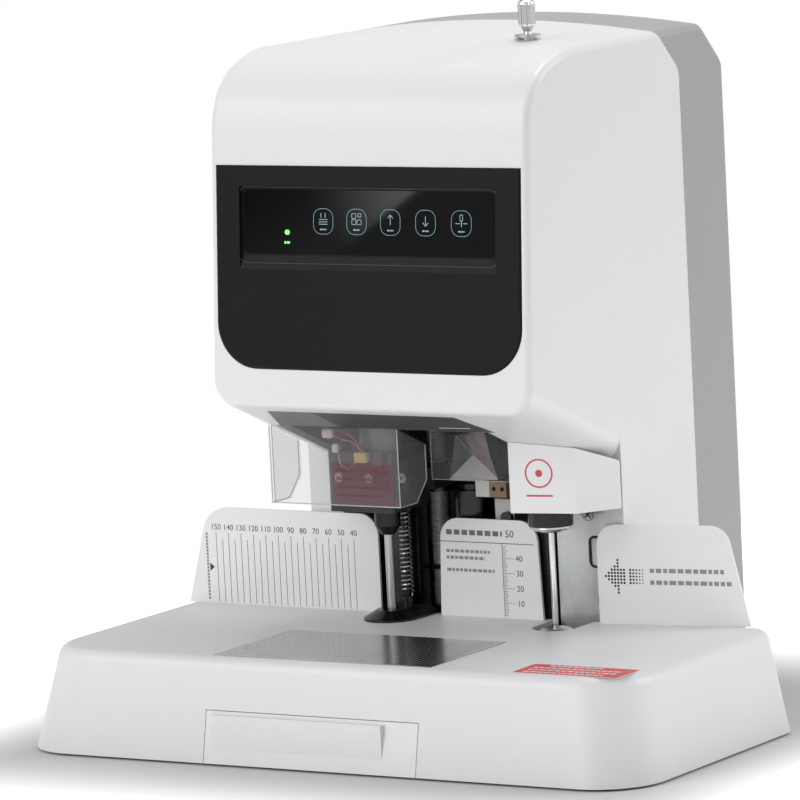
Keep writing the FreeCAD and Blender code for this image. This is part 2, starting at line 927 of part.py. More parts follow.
def scrap_drawer():
    """Drawer front that follows the slope of the tray, with an open box behind."""
    piece = Piece("scrap_drawer_box")
    slope = d.tray_draft / (d.deck_height - d.tray_rim_height)
    low = d.tray_rim_height
    back = slope * (d.drawer_height - low)
    front = -d.tray_front
    corners = [
        (front, low),
        (front + d.tray_wall, low),
        (front + d.tray_wall + back, d.drawer_height),
        (front + back, d.drawer_height),
    ]
    piece.pad("side", corners, (-d.drawer_left, d.drawer_right))
    wall = d.drawer_wall
    left = -d.drawer_left + d.runner_width
    rim = d.drawer_height - wall
    y = (front + wall, d.drawer_box_rear)
    box = rectangle((left, d.drawer_box_right), y)
    piece.pad("top", box, (d.drawer_bottom, rim))
    inside = rectangle(
        (left + wall, d.drawer_box_right - wall),
        (front + back + d.tray_wall + wall, d.drawer_box_rear - wall),
    )
    piece.pocket("top", inside, (d.drawer_bottom + wall, rim + d.overrun))
    return keep("scrap_drawer", piece.body)


def drawer_runners():
    gap = d.soft_gap
    left = -d.drawer_left + d.runner_width
    y = (-d.tray_front + d.tray_draft + d.tray_wall * 2, d.drawer_box_rear)
    z = (PLATE_TOP, PLATE_TOP + d.runner_height)
    pieces = [
        block("left_runner", (left - gap - d.runner_width, left - gap), y, z),
        block(
            "right_runner",
            (d.drawer_box_right + gap, d.drawer_box_right + gap + d.runner_width),
            y,
            z,
        ),
    ]
    return keep("drawer_runners", group("drawer_runner_pair", pieces))


LEAN_SHARE = d.face_lean / (d.head_side_top - d.head_bottom)
BELLY_SHARE = (d.head_bottom - d.belly_low) / (d.column_front + d.head_front)


def face_back(z):
    """Place of the leaning front face at a height."""
    return -d.head_front + LEAN_SHARE * (z - d.head_bottom)


def belly_height(y):
    """Height of the sloped underside of the head at a place."""
    return d.head_bottom - BELLY_SHARE * (y + d.head_front)


def body_form(name, inset):
    """Shape of the body housing, drawn in by an inset all round; the inside is plainer."""
    piece = Piece(name)
    half = HALF_BODY - inset
    top = d.head_side_top + d.crown_rise - inset
    brow = d.head_side_top - d.brow_drop - inset
    rise_share = d.brow_drop / d.brow_run
    brow_front = face_back(brow) + inset
    rear = d.body_rear - inset
    shoulder = top - d.crown_rise - d.rear_chamfer_height
    peak = top + d.overrun
    chamfer_share = d.rear_chamfer_height / d.rear_chamfer_depth
    corners = [
        (face_back(d.head_bottom) + inset, belly_height(-d.head_front) + inset),
        (d.column_front + inset, belly_height(d.column_front) + inset),
        (d.column_front + inset, PLATE_TOP),
        (rear, PLATE_TOP),
        (rear, shoulder, d.rear_corner_round),
        (rear - (peak - shoulder) / chamfer_share, peak),
        (brow_front + (peak - brow) / rise_share, peak),
        (brow_front, brow, d.brow_round - inset),
    ]
    piece.pad("side", corners, (-half, half))
    crown = (half * half + d.crown_rise * d.crown_rise) / (d.crown_rise * 2)
    above = piece.outline("front", rectangle((-crown * 2, crown * 2), (-crown * 4, crown)), -BIG)
    centre = top - crown
    ring = above.addGeometry(Part.Circle(Vector(0, centre.number, 0), Vector(0, 0, 1), crown.number))
    pin_point(above, ring, 3, 0, centre)
    constrain(above, ("Radius", ring), crown)
    piece.pocket_sketch(above, BIG * 2)
    if inset:
        piece.soften(d.belly_round * BEVEL_SHARE, is_belly_edge, "Chamfer")
        return piece
    middle = d.column_front.number
    piece.soften(d.belly_round, is_belly_edge)
    piece.soften(d.crease_round, lambda e: is_crease(e) and e.BoundBox.YMax < middle)
    piece.soften(d.rear_corner_round, lambda e: is_crease(e) and e.BoundBox.YMin > middle)
    return piece


BIG = d.tray_width
BEVEL_SHARE = 0.5
FLAT = d.running_gap.number


def is_crease(edge):
    """Curved edges where the crown meets the slopes before and behind it."""
    box = edge.BoundBox
    brow = (d.head_side_top - d.brow_drop - d.housing_wall).number
    is_slanted = box.ZLength > FLAT and box.YLength > FLAT
    return is_slanted and box.XLength > HALF_BODY.number and box.ZMin > brow


def is_belly_edge(edge):
    """Long edges between the underside of the head and its sides."""
    box = edge.BoundBox
    is_long = box.YLength > d.head_front.number / 2 and box.XLength < FLAT
    low, high = d.belly_low - d.housing_wall, d.head_bottom + d.housing_wall * 2
    return is_long and low.number < box.Center.z < high.number \
        and abs(box.Center.x) > HALF_BODY.number / 2


def is_side_outline(edge):
    """Edges round the sides of the head, without the underside and the column foot."""
    box = edge.BoundBox
    return box.XLength < FLAT and abs(box.Center.x) > HALF_BODY.number / 2 \
        and box.ZMin > d.head_bottom.number


def lean(piece):
    """Sets a piece on the leaning front face; its own heights start at the lip."""
    base = (ZERO, face_back(d.head_bottom), d.head_bottom)
    return piece.turned(base, Vector(1, 0, 0), -d.fascia_lean_angle)


def fascia_corners(border):
    x = d.fascia_half_width - border
    low, high = d.fascia_low + border - d.head_bottom, d.fascia_high - border - d.head_bottom
    round_size = d.fascia_corner - border
    return [(-x, low, round_size), (x, low, round_size), (x, high), (-x, high)]


def housing_shell():
    """Hollow head and column with all their openings, before the seam is made."""
    shell = body_form("housing_outer", 0)
    shell.soften(d.side_round, is_side_outline)
    shell.remove(body_form("housing_inner", d.housing_wall).body)
    back = d.column_front + d.overrun
    drill_way = rectangle(
        (-d.belly_opening_left, d.belly_opening_right),
        (-d.belly_opening_front, back),
    )
    rivet_way = rectangle(
        (d.rivet_opening_left, d.rivet_opening_right),
        (-d.rivet_opening_front, back),
    )
    for way in (drill_way, rivet_way):
        shell.pocket("top", way, (d.shield_low, d.head_bottom + d.housing_wall))
    column = rectangle(
        (-d.column_opening_left, d.column_opening_right),
        (-d.overrun, d.belly_low + d.overrun),
    )
    shell.pocket("front", column, (d.column_front - d.overrun, d.column_front + d.overrun))
    bush_fit = d.bush_stem_radius + d.fence_fit
    shell.holes("top", [RIVET + (bush_fit,)], (d.head_side_top - d.brow_drop, d.knob_high))
    rear = (d.body_rear - d.overrun, d.body_rear + d.overrun)
    for centre, width, tall in REAR_HOLES:
        opening = rectangle(
            (centre[0] - width / 2, centre[0] + width / 2),
            (centre[1] - tall / 2, centre[1] + tall / 2),
        )
        shell.pocket("front", opening, rear)
    for count in range(VENT_COUNT):
        low = d.vent_low + d.vent_pitch * count
        x = (-d.vent_width / 2, d.vent_width / 2)
        slot = rectangle(x, (low, low + d.vent_slot), d.vent_slot * VENT_ROUND_SHARE)
        shell.pocket("front", slot, rear)
    return shell.body


VENT_ROUND_SHARE = 0.48


def fascia_openings():
    """Cutters for the panel's seat in the front face and the way through behind it."""
    fit = -d.panel_fit
    seat = Piece("fascia_seat")
    seat.pad("front", fascia_corners(fit), (-d.overrun, d.fascia_recess + d.panel_fit))
    way = Piece("fascia_way")
    way.pad("front", fascia_corners(d.fascia_border + fit), (-d.overrun, d.fascia_depth * 2))
    return lean(seat).body, lean(way).body


def seam_region(name, gap):
    """Everything behind the seam, grown forward by a gap."""
    piece = Piece(name)
    seam = d.body_rear - d.seam_setback - gap
    shoulder = d.head_side_top - d.rear_chamfer_height
    peak = d.knob_high
    share = d.rear_chamfer_height / d.rear_chamfer_depth
    corners = [
        (seam, -d.overrun),
        (d.body_rear + d.overrun, -d.overrun),
        (d.body_rear + d.overrun, peak),
        (seam - (peak - shoulder) / share, peak),
        (seam, shoulder, d.rear_corner_round),
    ]
    piece.pad("side", corners, (-BIG, BIG))
    return piece.body


def housings():
    shell = housing_shell()
    back_tool = seam_region("seam_back", ZERO)
    front_tool = seam_region("seam_front", d.seam_gap)
    front = cut("housing_front_form", shell, front_tool, *fascia_openings())
    keep("housing_front", front)
    keep("housing_rear", common("housing_rear_form", shell, back_tool))


def control_fascia():
    piece = Piece("control_fascia_panel")
    flange = (-d.fascia_proud, d.fascia_recess)
    piece.pad("front", fascia_corners(ZERO), flange)
    piece.pad("front", fascia_corners(d.fascia_border + d.panel_fit), (d.fascia_recess, d.fascia_depth))
    glass_low = d.glass_low - d.head_bottom
    glass_high = d.glass_high - d.head_bottom
    face = -d.fascia_proud
    deep = face + d.glass_recess
    window = [
        (face - d.overrun, glass_low - d.ledge_drop),
        (face, glass_low - d.ledge_drop),
        (deep, glass_low),
        (deep, glass_high),
        (face - d.overrun, glass_high),
    ]
    piece.pocket("side", window, (-d.glass_half_width, d.glass_half_width))
    seat = rectangle(
        (-d.glass_half_width, d.glass_half_width),
        (glass_low, glass_high),
        d.glass_corner,
    )
    piece.pocket("front", seat, (deep - d.overrun, deep + d.glass_thick + d.soft_gap))
    lamp = (-d.lamp_across, d.lamp_height - d.head_bottom, d.lamp_radius + d.soft_gap)
    piece.holes("front", [lamp], (deep, d.fascia_depth + d.overrun))
    piece.soften(d.fascia_rim, lambda e: is_fascia_rim(e), "Chamfer")
    return keep("control_fascia", lean(piece).body)


def is_fascia_rim(edge):
    """Front edges round the outside of the panel."""
    box = edge.BoundBox
    low, high = d.fascia_low - d.head_bottom, d.fascia_high - d.head_bottom
    at_face = near(box.YMax, -d.fascia_proud) and near(box.YMin, -d.fascia_proud)
    side = d.fascia_half_width.number
    outer = near(box.XMin, -side) or near(box.XMax, side) \
        or near(box.ZMin, low) or near(box.ZMax, high)
    return at_face and outer


def touch_glass():
    piece = Piece("touch_glass_sheet")
    fit = d.soft_gap
    low, high = d.glass_low - d.head_bottom, d.glass_high - d.head_bottom
    outline = rectangle(
        (-d.glass_half_width + fit, d.glass_half_width - fit),
        (low + fit, high - fit),
        d.glass_corner - fit,
    )
    deep = d.glass_recess - d.fascia_proud
    piece.pad("front", outline, (deep, deep + d.glass_thick))
    lamp = (-d.lamp_across, d.lamp_height - d.head_bottom, d.lamp_radius + fit)
    piece.holes("front", [lamp], (deep - d.overrun, deep + d.glass_thick + d.overrun))
    return keep("touch_glass", lean(piece).body)


def status_lamp():
    piece = Piece("status_lamp_lens")
    centre = [(-d.lamp_across, d.lamp_height - d.head_bottom, d.lamp_radius)]
    deep = d.glass_recess - d.fascia_proud
    span = (deep - d.soft_gap, d.fascia_depth)
    sketch = piece.circles("front", centre, span[1])
    piece.pad_sketch(sketch, span[1] - span[0])
    return keep("status_lamp", lean(piece).body)


def control_board():
    piece = Piece("control_board_sheet")
    margin = d.board_margin + d.fascia_border
    x = d.fascia_half_width - margin
    low = d.glass_low - d.head_bottom - d.board_margin
    high = d.fascia_high - margin - d.head_bottom
    y = (d.fascia_depth, d.fascia_depth + d.board_thick)
    piece.pad("front", rectangle((-x, x), (low, high)), y)
    return keep("control_board", lean(piece).body)


def stepped(name, place, steps, bore=None):
    """Round piece made of stacked upright cylinders (radius, low, high), with a bore."""
    piece = Piece(name)
    for radius, low, high in steps:
        sketch = piece.circles("top", [place + (radius,)], low)
        piece.pad_sketch(sketch, high - low)
    if bore is not None:
        low, high = steps[0][1], steps[-1][2]
        piece.holes("top", [place + (bore,)], (low - d.overrun, high + d.overrun))
    return piece


def drill_spindle():
    bit = stepped("drill_bit_tube", DRILL, [(d.bit_radius, d.bit_low, d.bit_high)], d.bit_bore)
    keep("drill_bit", bit.body)
    chuck = Piece("chuck_body")
    inner = d.bit_radius + d.running_gap
    corners = [
        (inner, d.chuck_low),
        (d.chuck_nose_radius, d.chuck_low),
        (d.chuck_radius, d.chuck_low + d.chuck_nose_height),
        (d.chuck_radius, d.chuck_top),
        (0, d.chuck_top),
        (0, d.bit_high + d.running_gap),
        (inner, d.bit_high + d.running_gap),
    ]
    keep("chuck", chuck.revolve(corners, DRILL).body)
    rotor = d.spindle_motor_radius - d.motor_shell_wall - d.soft_gap * 2
    motor_low = d.head_block_high
    steps = [
        (d.spindle_radius, d.chuck_top, motor_low + d.motor_end),
        (rotor, motor_low + d.motor_end, motor_low + d.spindle_motor_height - d.motor_end),
    ]
    keep("spindle", stepped("spindle_shaft", DRILL, steps).body)


def motor_shell(name, place, radius, low, high, shaft):
    """Closed can with a shaft hole below."""
    piece = stepped(name, place, [(radius, low, high)])
    wall = d.motor_shell_wall
    piece.holes("top", [place + (shaft + d.running_gap,)], (low - d.overrun, high - wall))
    hollow = Piece(f"{name}_hollow")
    sketch = hollow.circles("top", [place + (radius - wall,)], low + wall)
    hollow.pad_sketch(sketch, high - low - wall * 2)
    return piece.remove(hollow.body)


def spindle_motor():
    low = d.head_block_high
    high = low + d.spindle_motor_height
    piece = motor_shell("spindle_motor_can", DRILL, d.spindle_motor_radius, low, high, d.spindle_radius)
    return keep("spindle_motor", piece.body)


def drill_head_block():
    """Drill head with an arm behind it to the lift nut and the guide rod."""
    piece = Piece("drill_head_casting")
    x = (-d.drill_across - d.head_block_left, -d.drill_across + d.head_block_right)
    front, rear = -d.axis_front - d.head_block_front, -d.axis_front + d.head_block_rear
    head = rectangle(x, (front, rear))
    piece.pad("top", head, (d.head_block_low, d.head_block_high))
    arm_high = d.arm_low + d.arm_thick
    arm_rear = d.screw_back + d.nut_flange_radius
    arm_left = -d.guide_rod_across - d.rod_bush_radius - d.housing_wall
    arm_right = -d.screw_across + d.nut_flange_radius
    arm = rectangle((arm_left, arm_right), (rear - d.overrun, arm_rear))
    piece.pad("top", arm, (d.arm_low, arm_high))
    low, high = d.head_block_low - d.overrun, d.head_block_high + d.overrun
    round_holes = [
        DRILL + (d.spindle_radius + d.running_gap,),
        SCREW + (d.nut_radius + d.soft_gap,),
        GUIDE + (d.rod_bush_radius + d.soft_gap,),
    ]
    piece.holes("top", round_holes, (low, high))
    rod_hole = SPRING + (d.spring_rod_radius + d.soft_gap,)
    piece.holes("top", [rod_hole], (low, high))
    piece.soften(d.head_block_round, is_block_corner)
    return keep("drill_head_block", piece.body)


def is_block_corner(edge):
    """Front upright edges of the drill head."""
    box = edge.BoundBox
    front = -d.axis_front - d.head_block_front
    at_front = near(box.YMin, front) and near(box.YMax, front)
    return at_front and near(box.ZMin, d.head_block_low) and near(box.ZMax, d.head_block_high)


def head_clamp():
    """Dark lug on the right side of the drill head."""
    right = -d.drill_across + d.head_block_right
    front = -d.axis_front - d.head_block_front + d.clamp_setback
    piece = Piece("head_clamp_lug")
    outline = rectangle((right, right + d.clamp_width), (d.clamp_low, d.clamp_high))
    piece.pad("front", outline, (front, front + d.clamp_thick))
    return keep("head_clamp", piece.body)


def lift_nut():
    low = d.arm_low - d.nut_flange_thick
    steps = [
        (d.nut_flange_radius, low, d.arm_low),
        (d.nut_radius, d.arm_low, d.arm_low + d.arm_thick),
    ]
    piece = stepped("lift_nut_turned", SCREW, steps, d.screw_radius + d.running_gap)
    return keep("lift_nut", piece.body)


def rod_bushes():
    """Guide bushes of the drill head and of the press block."""
    bore = d.guide_rod_radius + d.running_gap
    arm = (d.arm_low, d.arm_low + d.arm_thick)
    lift = stepped("lift_bush", GUIDE, [(d.rod_bush_radius,) + arm], bore)
    return keep("rod_bush", lift.body)


def lift_screw():
    steps = [
        (d.screw_end_radius, d.screw_low, SHELF_TOP + d.soft_gap),
        (d.screw_radius, SHELF_TOP + d.soft_gap, d.screw_high),
    ]
    return keep("lift_screw", stepped("lift_screw_turned", SCREW, steps).body)


def lift_motor():
    place = LIFT_MOTOR
    piece = stepped("lift_motor_can", place, [
        (d.lift_motor_radius, SHELF_TOP, d.lift_motor_high - d.motor_end),
        (d.lift_motor_radius - d.motor_end, d.lift_motor_high - d.motor_end, d.lift_motor_high),
    ])
    return keep("lift_motor", piece.body)


def helix_point(turns, first, rise):
    """Point on the spring's helix after a number of turns."""
    angle = math.tau * turns
    mean = d.spring_radius.number
    return Vector(math.cos(angle) * mean, math.sin(angle) * mean, first + rise * turns)


def spring_end(start, heading):
    """Straight stub and quarter bend at one end; heading is 1 below and -1 above."""
    bend = d.spring_wire.number * BEND_SHARE
    stub = d.spring_wire.number
    foot = start - Vector(0, bend * heading, (bend + stub) * heading)
    turn = foot + Vector(0, 0, stub * heading)
    centre = turn + Vector(0, bend * heading, 0)
    slant = Vector(0, -heading, heading) * (bend / math.sqrt(2))
    line = Part.LineSegment(foot, turn).toShape()
    arc = Part.Arc(turn, centre + slant, start).toShape()
    return [line, arc]


def wire_section(spot, heading):
    """Six-sided section of the spring's wire, square to its heading."""
    across = heading.cross(Vector(1, 0, 0)).normalize()
    along = heading.cross(across).normalize()
    radius = d.spring_wire.number / 2
    corners = []
    for step in range(WIRE_SIDES + 1):
        angle = math.tau * step / WIRE_SIDES
        corners.append(spot + across * (radius * math.cos(angle)) + along * (radius * math.sin(angle)))
    return Part.makePolygon(corners)


def least_gap(path):
    """Least clear gap between the spring's own turns, from points along its path."""
    wire = d.spring_wire.number
    step = wire / 2
    points = path.discretize(Distance=step)
    apart = int(d.spring_radius.number / step)
    return min(
        (points[j] - points[i]).Length - wire
        for i in range(len(points))
        for j in range(i + apart, len(points))
    )


def return_spring():
    """Open coil spring between the drill foot and the head, on quarter-turn arcs."""
    reach = d.spring_wire.number * (1 + BEND_SHARE) + d.running_gap.number
    first = d.spring_low.number + reach
    last = d.head_block_low.number - reach
    rise = (last - first) / COIL_COUNT
    points = [helix_point(step / 8, first, rise) for step in range(COIL_COUNT * 8 + 1)]
    arcs = [Part.Arc(*points[i:i + 3]).toShape() for i in range(0, len(points) - 2, 2)]
    lower = spring_end(points[0], 1)
    upper = spring_end(points[-1], -1)
    path = Part.Wire(lower + arcs + upper[::-1])
    print("spring pitch", round(rise, 3), "least gap to itself", round(least_gap(path), 3))
    ring = wire_section(lower[0].Vertexes[0].Point, Vector(0, 0, 1))
    tube = path.makePipeShell([ring], True, False)
    section = Part.Face(ring).Area
    print("spring volume share", round(tube.Volume / (section * path.Length), 4))
    tube.translate(Vector(SPRING[0].number, SPRING[1].number, 0))
    item = DOCUMENT.addObject("Part::Feature", "return_spring_coils")
    item.Shape = tube
    return keep("return_spring", item)


BEND_SHARE = 1.2
WIRE_SIDES = 6


def spring_rod():
    z = (d.deck_height + d.drill_foot_height, d.spring_rod_high)
    return keep("spring_rod", rod("spring_rod_pin", d.spring_rod_radius, SPRING, z))


def drill_foot():
    """Lens-edged foot round the bit, with a boss that carries the spring."""
    piece = Piece("drill_foot_casting")
    half = d.drill_foot_width / 2
    low, high = d.deck_height, d.deck_height + d.drill_foot_height
    rim = low + d.drill_foot_rim
    disc = [
        (d.drill_foot_bore, low),
        (half, low),
        (half, rim),
        (half - d.drill_foot_slope, high),
        (d.drill_foot_bore, high),
    ]
    piece.revolve(disc, DRILL)
    centre = -d.drill_across
    tail = [
        (centre - half, low),
        (centre + half, low),
        (centre + half, rim),
        (centre + half - d.drill_foot_slope, high),
        (centre - half + d.drill_foot_slope, high),
        (centre - half, rim),
    ]
    piece.pad("front", tail, (-d.axis_front, d.guard_back - d.soft_gap))
    boss = piece.circles("top", [SPRING + (d.spring_boss_radius,)], high)
    piece.pad_sketch(boss, d.spring_low - high)
    piece.holes("top", [DRILL + (d.drill_foot_bore,)], (low, high + d.overrun))
    rod_hole = SPRING + (d.spring_rod_radius + d.soft_gap,)
    piece.holes("top", [rod_hole], (high, d.spring_low))
    return keep("drill_foot", piece.body)


def cutting_pad():
    low = d.deck_height - d.cutting_pad_thick
    piece = rod("cutting_pad_disc", d.cutting_pad_radius, DRILL, (low, d.deck_height))
    return keep("cutting_pad", piece)


def drill_column_guard():
    piece = Piece("column_guard_channel")
    x = (-d.guard_left, -d.guard_right)
    y = (d.guard_back, d.guard_back + d.guard_depth)
    piece.pad("top", rectangle(x, y), (PLATE_TOP, d.guard_top))
    wall = d.guard_wall
    inside = rectangle((x[0] + wall, x[1] - wall), (y[0] + wall, y[1] + d.overrun))
    piece.pocket("top", inside, (PLATE_TOP - d.overrun, d.guard_top + d.overrun))
    return keep("drill_column_guard", piece.body)


def guide_rods():
    pieces = []
    for name, place in (("lift_guide", GUIDE), ("press_guide", PRESS_GUIDE)):
        pieces.append(rod(name, d.guide_rod_radius, place, (SHELF_TOP, d.frame_high)))
    return keep("guide_rods", group("guide_rod_pair", pieces))


def rivet_head():
    bore = d.press_bore
    tube_high = d.press_block_low + d.press_seat
    corners = [
        (bore, d.press_disc_low),
        (d.press_disc_tip, d.press_disc_low),
        (d.press_disc_radius, d.ring_low - d.running_gap),
        (d.press_tube_radius, d.ring_low - d.running_gap),
        (d.press_tube_radius, tube_high),
        (bore, tube_high),
    ]
    tube = Piece("press_tube_turned")
    keep("press_tube", tube.revolve(corners, RIVET).body)
    ring_bore = d.press_tube_radius + d.running_gap
    ring = stepped("heater_ring_turned", RIVET, [(d.ring_radius, d.ring_low, d.ring_high)], ring_bore)
    keep("heater_ring", ring.body)
    block_piece = Piece("press_block_machined")
    half = d.press_block_half
    x = (d.rivet_across - half, d.rivet_across + half)
    front = -d.axis_front - d.press_block_front
    rear = d.press_screw_back + d.nut_flange_radius
    z = (d.press_block_low, d.press_block_high)
    block_piece.pad("top", rectangle(x, (front, rear), d.head_block_round), z)
    over = z[1] + d.overrun
    block_piece.holes("top", [RIVET + (bore,)], (z[0] - d.overrun, over))
    seat = [RIVET + (d.press_tube_radius + d.running_gap,)]
    block_piece.holes("top", seat, (z[0] - d.overrun, tube_high))
    running = d.running_gap
    bores = [
        PRESS_SCREW + (d.screw_radius + running,),
        PRESS_GUIDE + (d.guide_rod_radius + running,),
    ]
    block_piece.holes("top", bores, (z[0] - d.overrun, over))
    keep("press_block", block_piece.body)


def press_drive():
    steps = [
        (d.screw_end_radius, d.shelf_low, SHELF_TOP + d.soft_gap),
        (d.screw_radius, SHELF_TOP + d.soft_gap, d.frame_high - d.soft_gap),
        (d.screw_end_radius, d.frame_high - d.soft_gap, FRAME_TOP + d.motor_end),
    ]
    keep("press_screw", stepped("press_screw_turned", PRESS_SCREW, steps).body)
    high = FRAME_TOP + d.press_motor_height
    motor = motor_shell(
        "press_motor_can", PRESS_SCREW, d.press_motor_radius, FRAME_TOP, high, d.screw_end_radius
    )
    keep("press_motor", motor.body)


def guide_needle():
    keep("guide_needle", rod("guide_needle_rod", d.needle_radius, RIVET, (d.needle_low, d.needle_high)))
    knob = Piece("needle_knob_turned")
    low = d.bush_seat + d.bush_thick + d.soft_gap
    bore = d.needle_radius + d.running_gap
    shoulder = d.knob_high - d.knob_tip_height
    corners = [
        (bore, low),
        (d.knob_radius, low),
        (d.knob_radius, shoulder),
        (d.knob_tip_radius, d.knob_high),
        (0, d.knob_high),
        (0, d.needle_high + d.running_gap),
        (bore, d.needle_high + d.running_gap),
    ]
    keep("needle_knob", knob.revolve(corners, RIVET).body)
    bush = stepped("needle_bush_turned", RIVET, [
        (d.bush_stem_radius, d.bush_seat - d.bush_stem_length, d.bush_seat),
        (d.bush_radius, d.bush_seat, d.bush_seat + d.bush_thick),
    ], bore)
    keep("needle_bush", bush.body)


def lower_die():
    die = Piece("lower_die_turned")
    bore = d.die_bore
    edge = d.die_top - d.die_dome
    corners = [
        (bore, d.die_low),
        (d.die_stem_radius, d.die_low),
        (d.die_stem_radius, edge - d.die_rim),
        (d.die_radius, edge - d.die_rim),
        (d.die_radius, edge),
        (d.die_radius - d.die_dome * 2, d.die_top),
        (bore, d.die_top),
    ]
    keep("lower_die", die.revolve(corners, RIVET).body)
    half = d.die_heater_size / 2
    heater_low = d.die_low - d.die_heater_height
    heater = Piece("die_heater_block")
    x = (d.rivet_across - half, d.rivet_across + half)
    y = (-d.axis_front - half, -d.axis_front + half)
    heater.pad("top", rectangle(x, y), (heater_low, d.die_low))
    post = heater.circles("top", [RIVET + (d.die_post_radius,)], PLATE_TOP)
    heater.pad_sketch(post, heater_low - PLATE_TOP)
    keep("die_heater", heater.body)


def rivet_cover():
    """White cover round the hot head: a bent wall whose top follows the underside."""
    piece = Piece("rivet_cover_wall")
    outer = [
        (d.cover_left, d.cover_return_back),
        (d.cover_left, -d.cover_front),
        (d.cover_crease, -d.cover_crease_front),
        (d.cover_end, d.cover_end_back),
        (d.cover_return, d.cover_return_back),
    ]
    piece.pad("top", outer, (d.cover_low, d.head_bottom))
    wall = d.cover_wall
    skew = wall * COVER_SKEW_SHARE
    inner = [
        (d.cover_left + wall, d.cover_return_back + d.overrun),
        (d.cover_left + wall, -d.cover_front + skew),
        (d.cover_crease - skew, -d.cover_crease_front + wall),
        (d.cover_end - skew, d.cover_end_back),
        (d.cover_return - skew, d.cover_return_back + d.overrun),
    ]
    piece.pocket("top", inner, (d.cover_low - d.overrun, d.head_bottom + d.overrun))
    margin = d.seam_gap
    front, back = -d.head_front, d.column_front
    above = [
        (front, belly_height(front) - margin),
        (back, belly_height(back) - margin),
        (back, d.head_bottom + d.overrun),
        (front, d.head_bottom + d.overrun),
    ]
    piece.pocket("side", above, (d.cover_left - d.overrun, d.cover_end + d.overrun))
    return keep("rivet_cover", piece.body)


COVER_SKEW_SHARE = 1.3


def rivet_station_plate():
    piece = Piece("station_plate_sheet")
    y = (d.station_plate_back, d.station_plate_back + d.station_plate_thick)
    x = (d.station_plate_left, d.station_plate_right)
    piece.pad("front", rectangle(x, (PLATE_TOP, d.station_plate_high)), y)
    slot = rectangle(
        (d.slot_centre_across - d.slot_half_width, d.slot_centre_across + d.slot_half_width),
        (d.slot_low, d.slot_high),
        d.slot_corner,
    )
    piece.pocket("front", slot, (y[0] - d.overrun, y[1] + d.overrun))
    return keep("rivet_station_plate", piece.body)


def wiring_duct():
    piece = block(
        "wiring_duct_strip",
        (d.duct_left, d.duct_right),
        (d.duct_front, d.duct_back),
        (PLATE_TOP, d.duct_high),
    )
    return keep("wiring_duct", piece)


def frame_sides():
    y = (d.frame_front, d.frame_rear)
    z = (PLATE_TOP, d.frame_high)
    pieces = [
        block("frame_left", (-d.frame_side_right, -d.frame_side_left), y, z),
        block("frame_right", (d.frame_side_left, d.frame_side_right), y, z),
    ]
    return keep("frame_sides", group("frame_side_pair", pieces))


def frame_top():
    piece = Piece("frame_top_sheet")
    x = (-d.frame_side_right, d.frame_side_right)
    piece.pad("top", rectangle(x, (d.frame_front, d.frame_rear)), (d.frame_high, FRAME_TOP))
    bearing = [PRESS_SCREW + (d.screw_end_radius + d.running_gap,)]
    piece.holes("top", bearing, (d.frame_high - d.overrun, FRAME_TOP + d.overrun))
    return keep("frame_top", piece.body)


def frame_shelf():
    """Shelf between the frame sides that carries the motor, the screws and the rods."""
    piece = Piece("frame_shelf_sheet")
    half = d.frame_side_left - d.soft_gap
    z = (d.shelf_low, SHELF_TOP)
    corners = [
        (-half, d.shelf_front),
        (-d.tongue_left, d.shelf_front),
        (-d.tongue_left, d.tongue_front),
        (d.tongue_right, d.tongue_front),
        (d.tongue_right, d.shelf_front),
        (half, d.shelf_front),
        (half, d.frame_rear),
        (-half, d.frame_rear),
    ]
    piece.pad("top", corners, z)
    running = d.screw_end_radius + d.running_gap
    bearings = [SCREW + (running,), PRESS_SCREW + (running,)]
    piece.holes("top", bearings, (z[0] - d.overrun, z[1] + d.overrun))
    return keep("frame_shelf", piece.body)


def post_and_sensors():
    post = Piece("sensor_post_bar")
    x = (d.post_left, d.post_right)
    arm_front = d.second_guard_back + d.shield_wall
    corners = [
        (d.post_front, SHELF_TOP),
        (d.post_back, SHELF_TOP),
        (d.post_back, d.post_high),
        (arm_front, d.post_high),
        (arm_front, d.post_arm_low),
        (d.post_front, d.post_arm_low),
    ]
    keep("sensor_post", post.pad("side", corners, x).body)
    terminal = Piece("terminal_block_moulding")
    left = d.terminal_left
    rear = d.post_front - d.soft_gap
    y = (rear - d.terminal_depth, rear)
    z = (d.terminal_low, d.terminal_high)
    terminal.pad("top", rectangle((left, left + d.terminal_width), y), z)
    entry_x = left + d.terminal_width / 2
    entry_z = (z[0] + z[1]) / 2
    offset = d.terminal_width / 4
    entries = [
        (entry_x - offset, entry_z, d.screw_shank_radius),
        (entry_x + offset, entry_z, d.screw_shank_radius),
    ]
    terminal.holes("front", entries, (y[0], y[0] + d.overrun))
    keep("terminal_block", terminal.body)
    flag = block(
        "flag_plate",
        (d.flag_left, left - d.soft_gap),
        (y[0], y[0] + d.flag_thick),
        z,
    )
    bracket = block(
        "sensor_bracket_sheet",
        (d.bracket_left, d.bracket_right),
        (rear - d.flag_thick, rear),
        (d.bracket_low, d.bracket_high),
    )
    keep("sensor_plates", group("sensor_plate_pair", [flag, bracket]))
    length_back = rear - d.flag_thick - d.soft_gap
    y = (length_back - d.limit_switch_length, length_back)
    switch = rod_back(
        "limit_switch_body", d.limit_switch_radius, d.limit_switch_across, y, d.limit_switch_height
    )
    keep("limit_switch", switch)


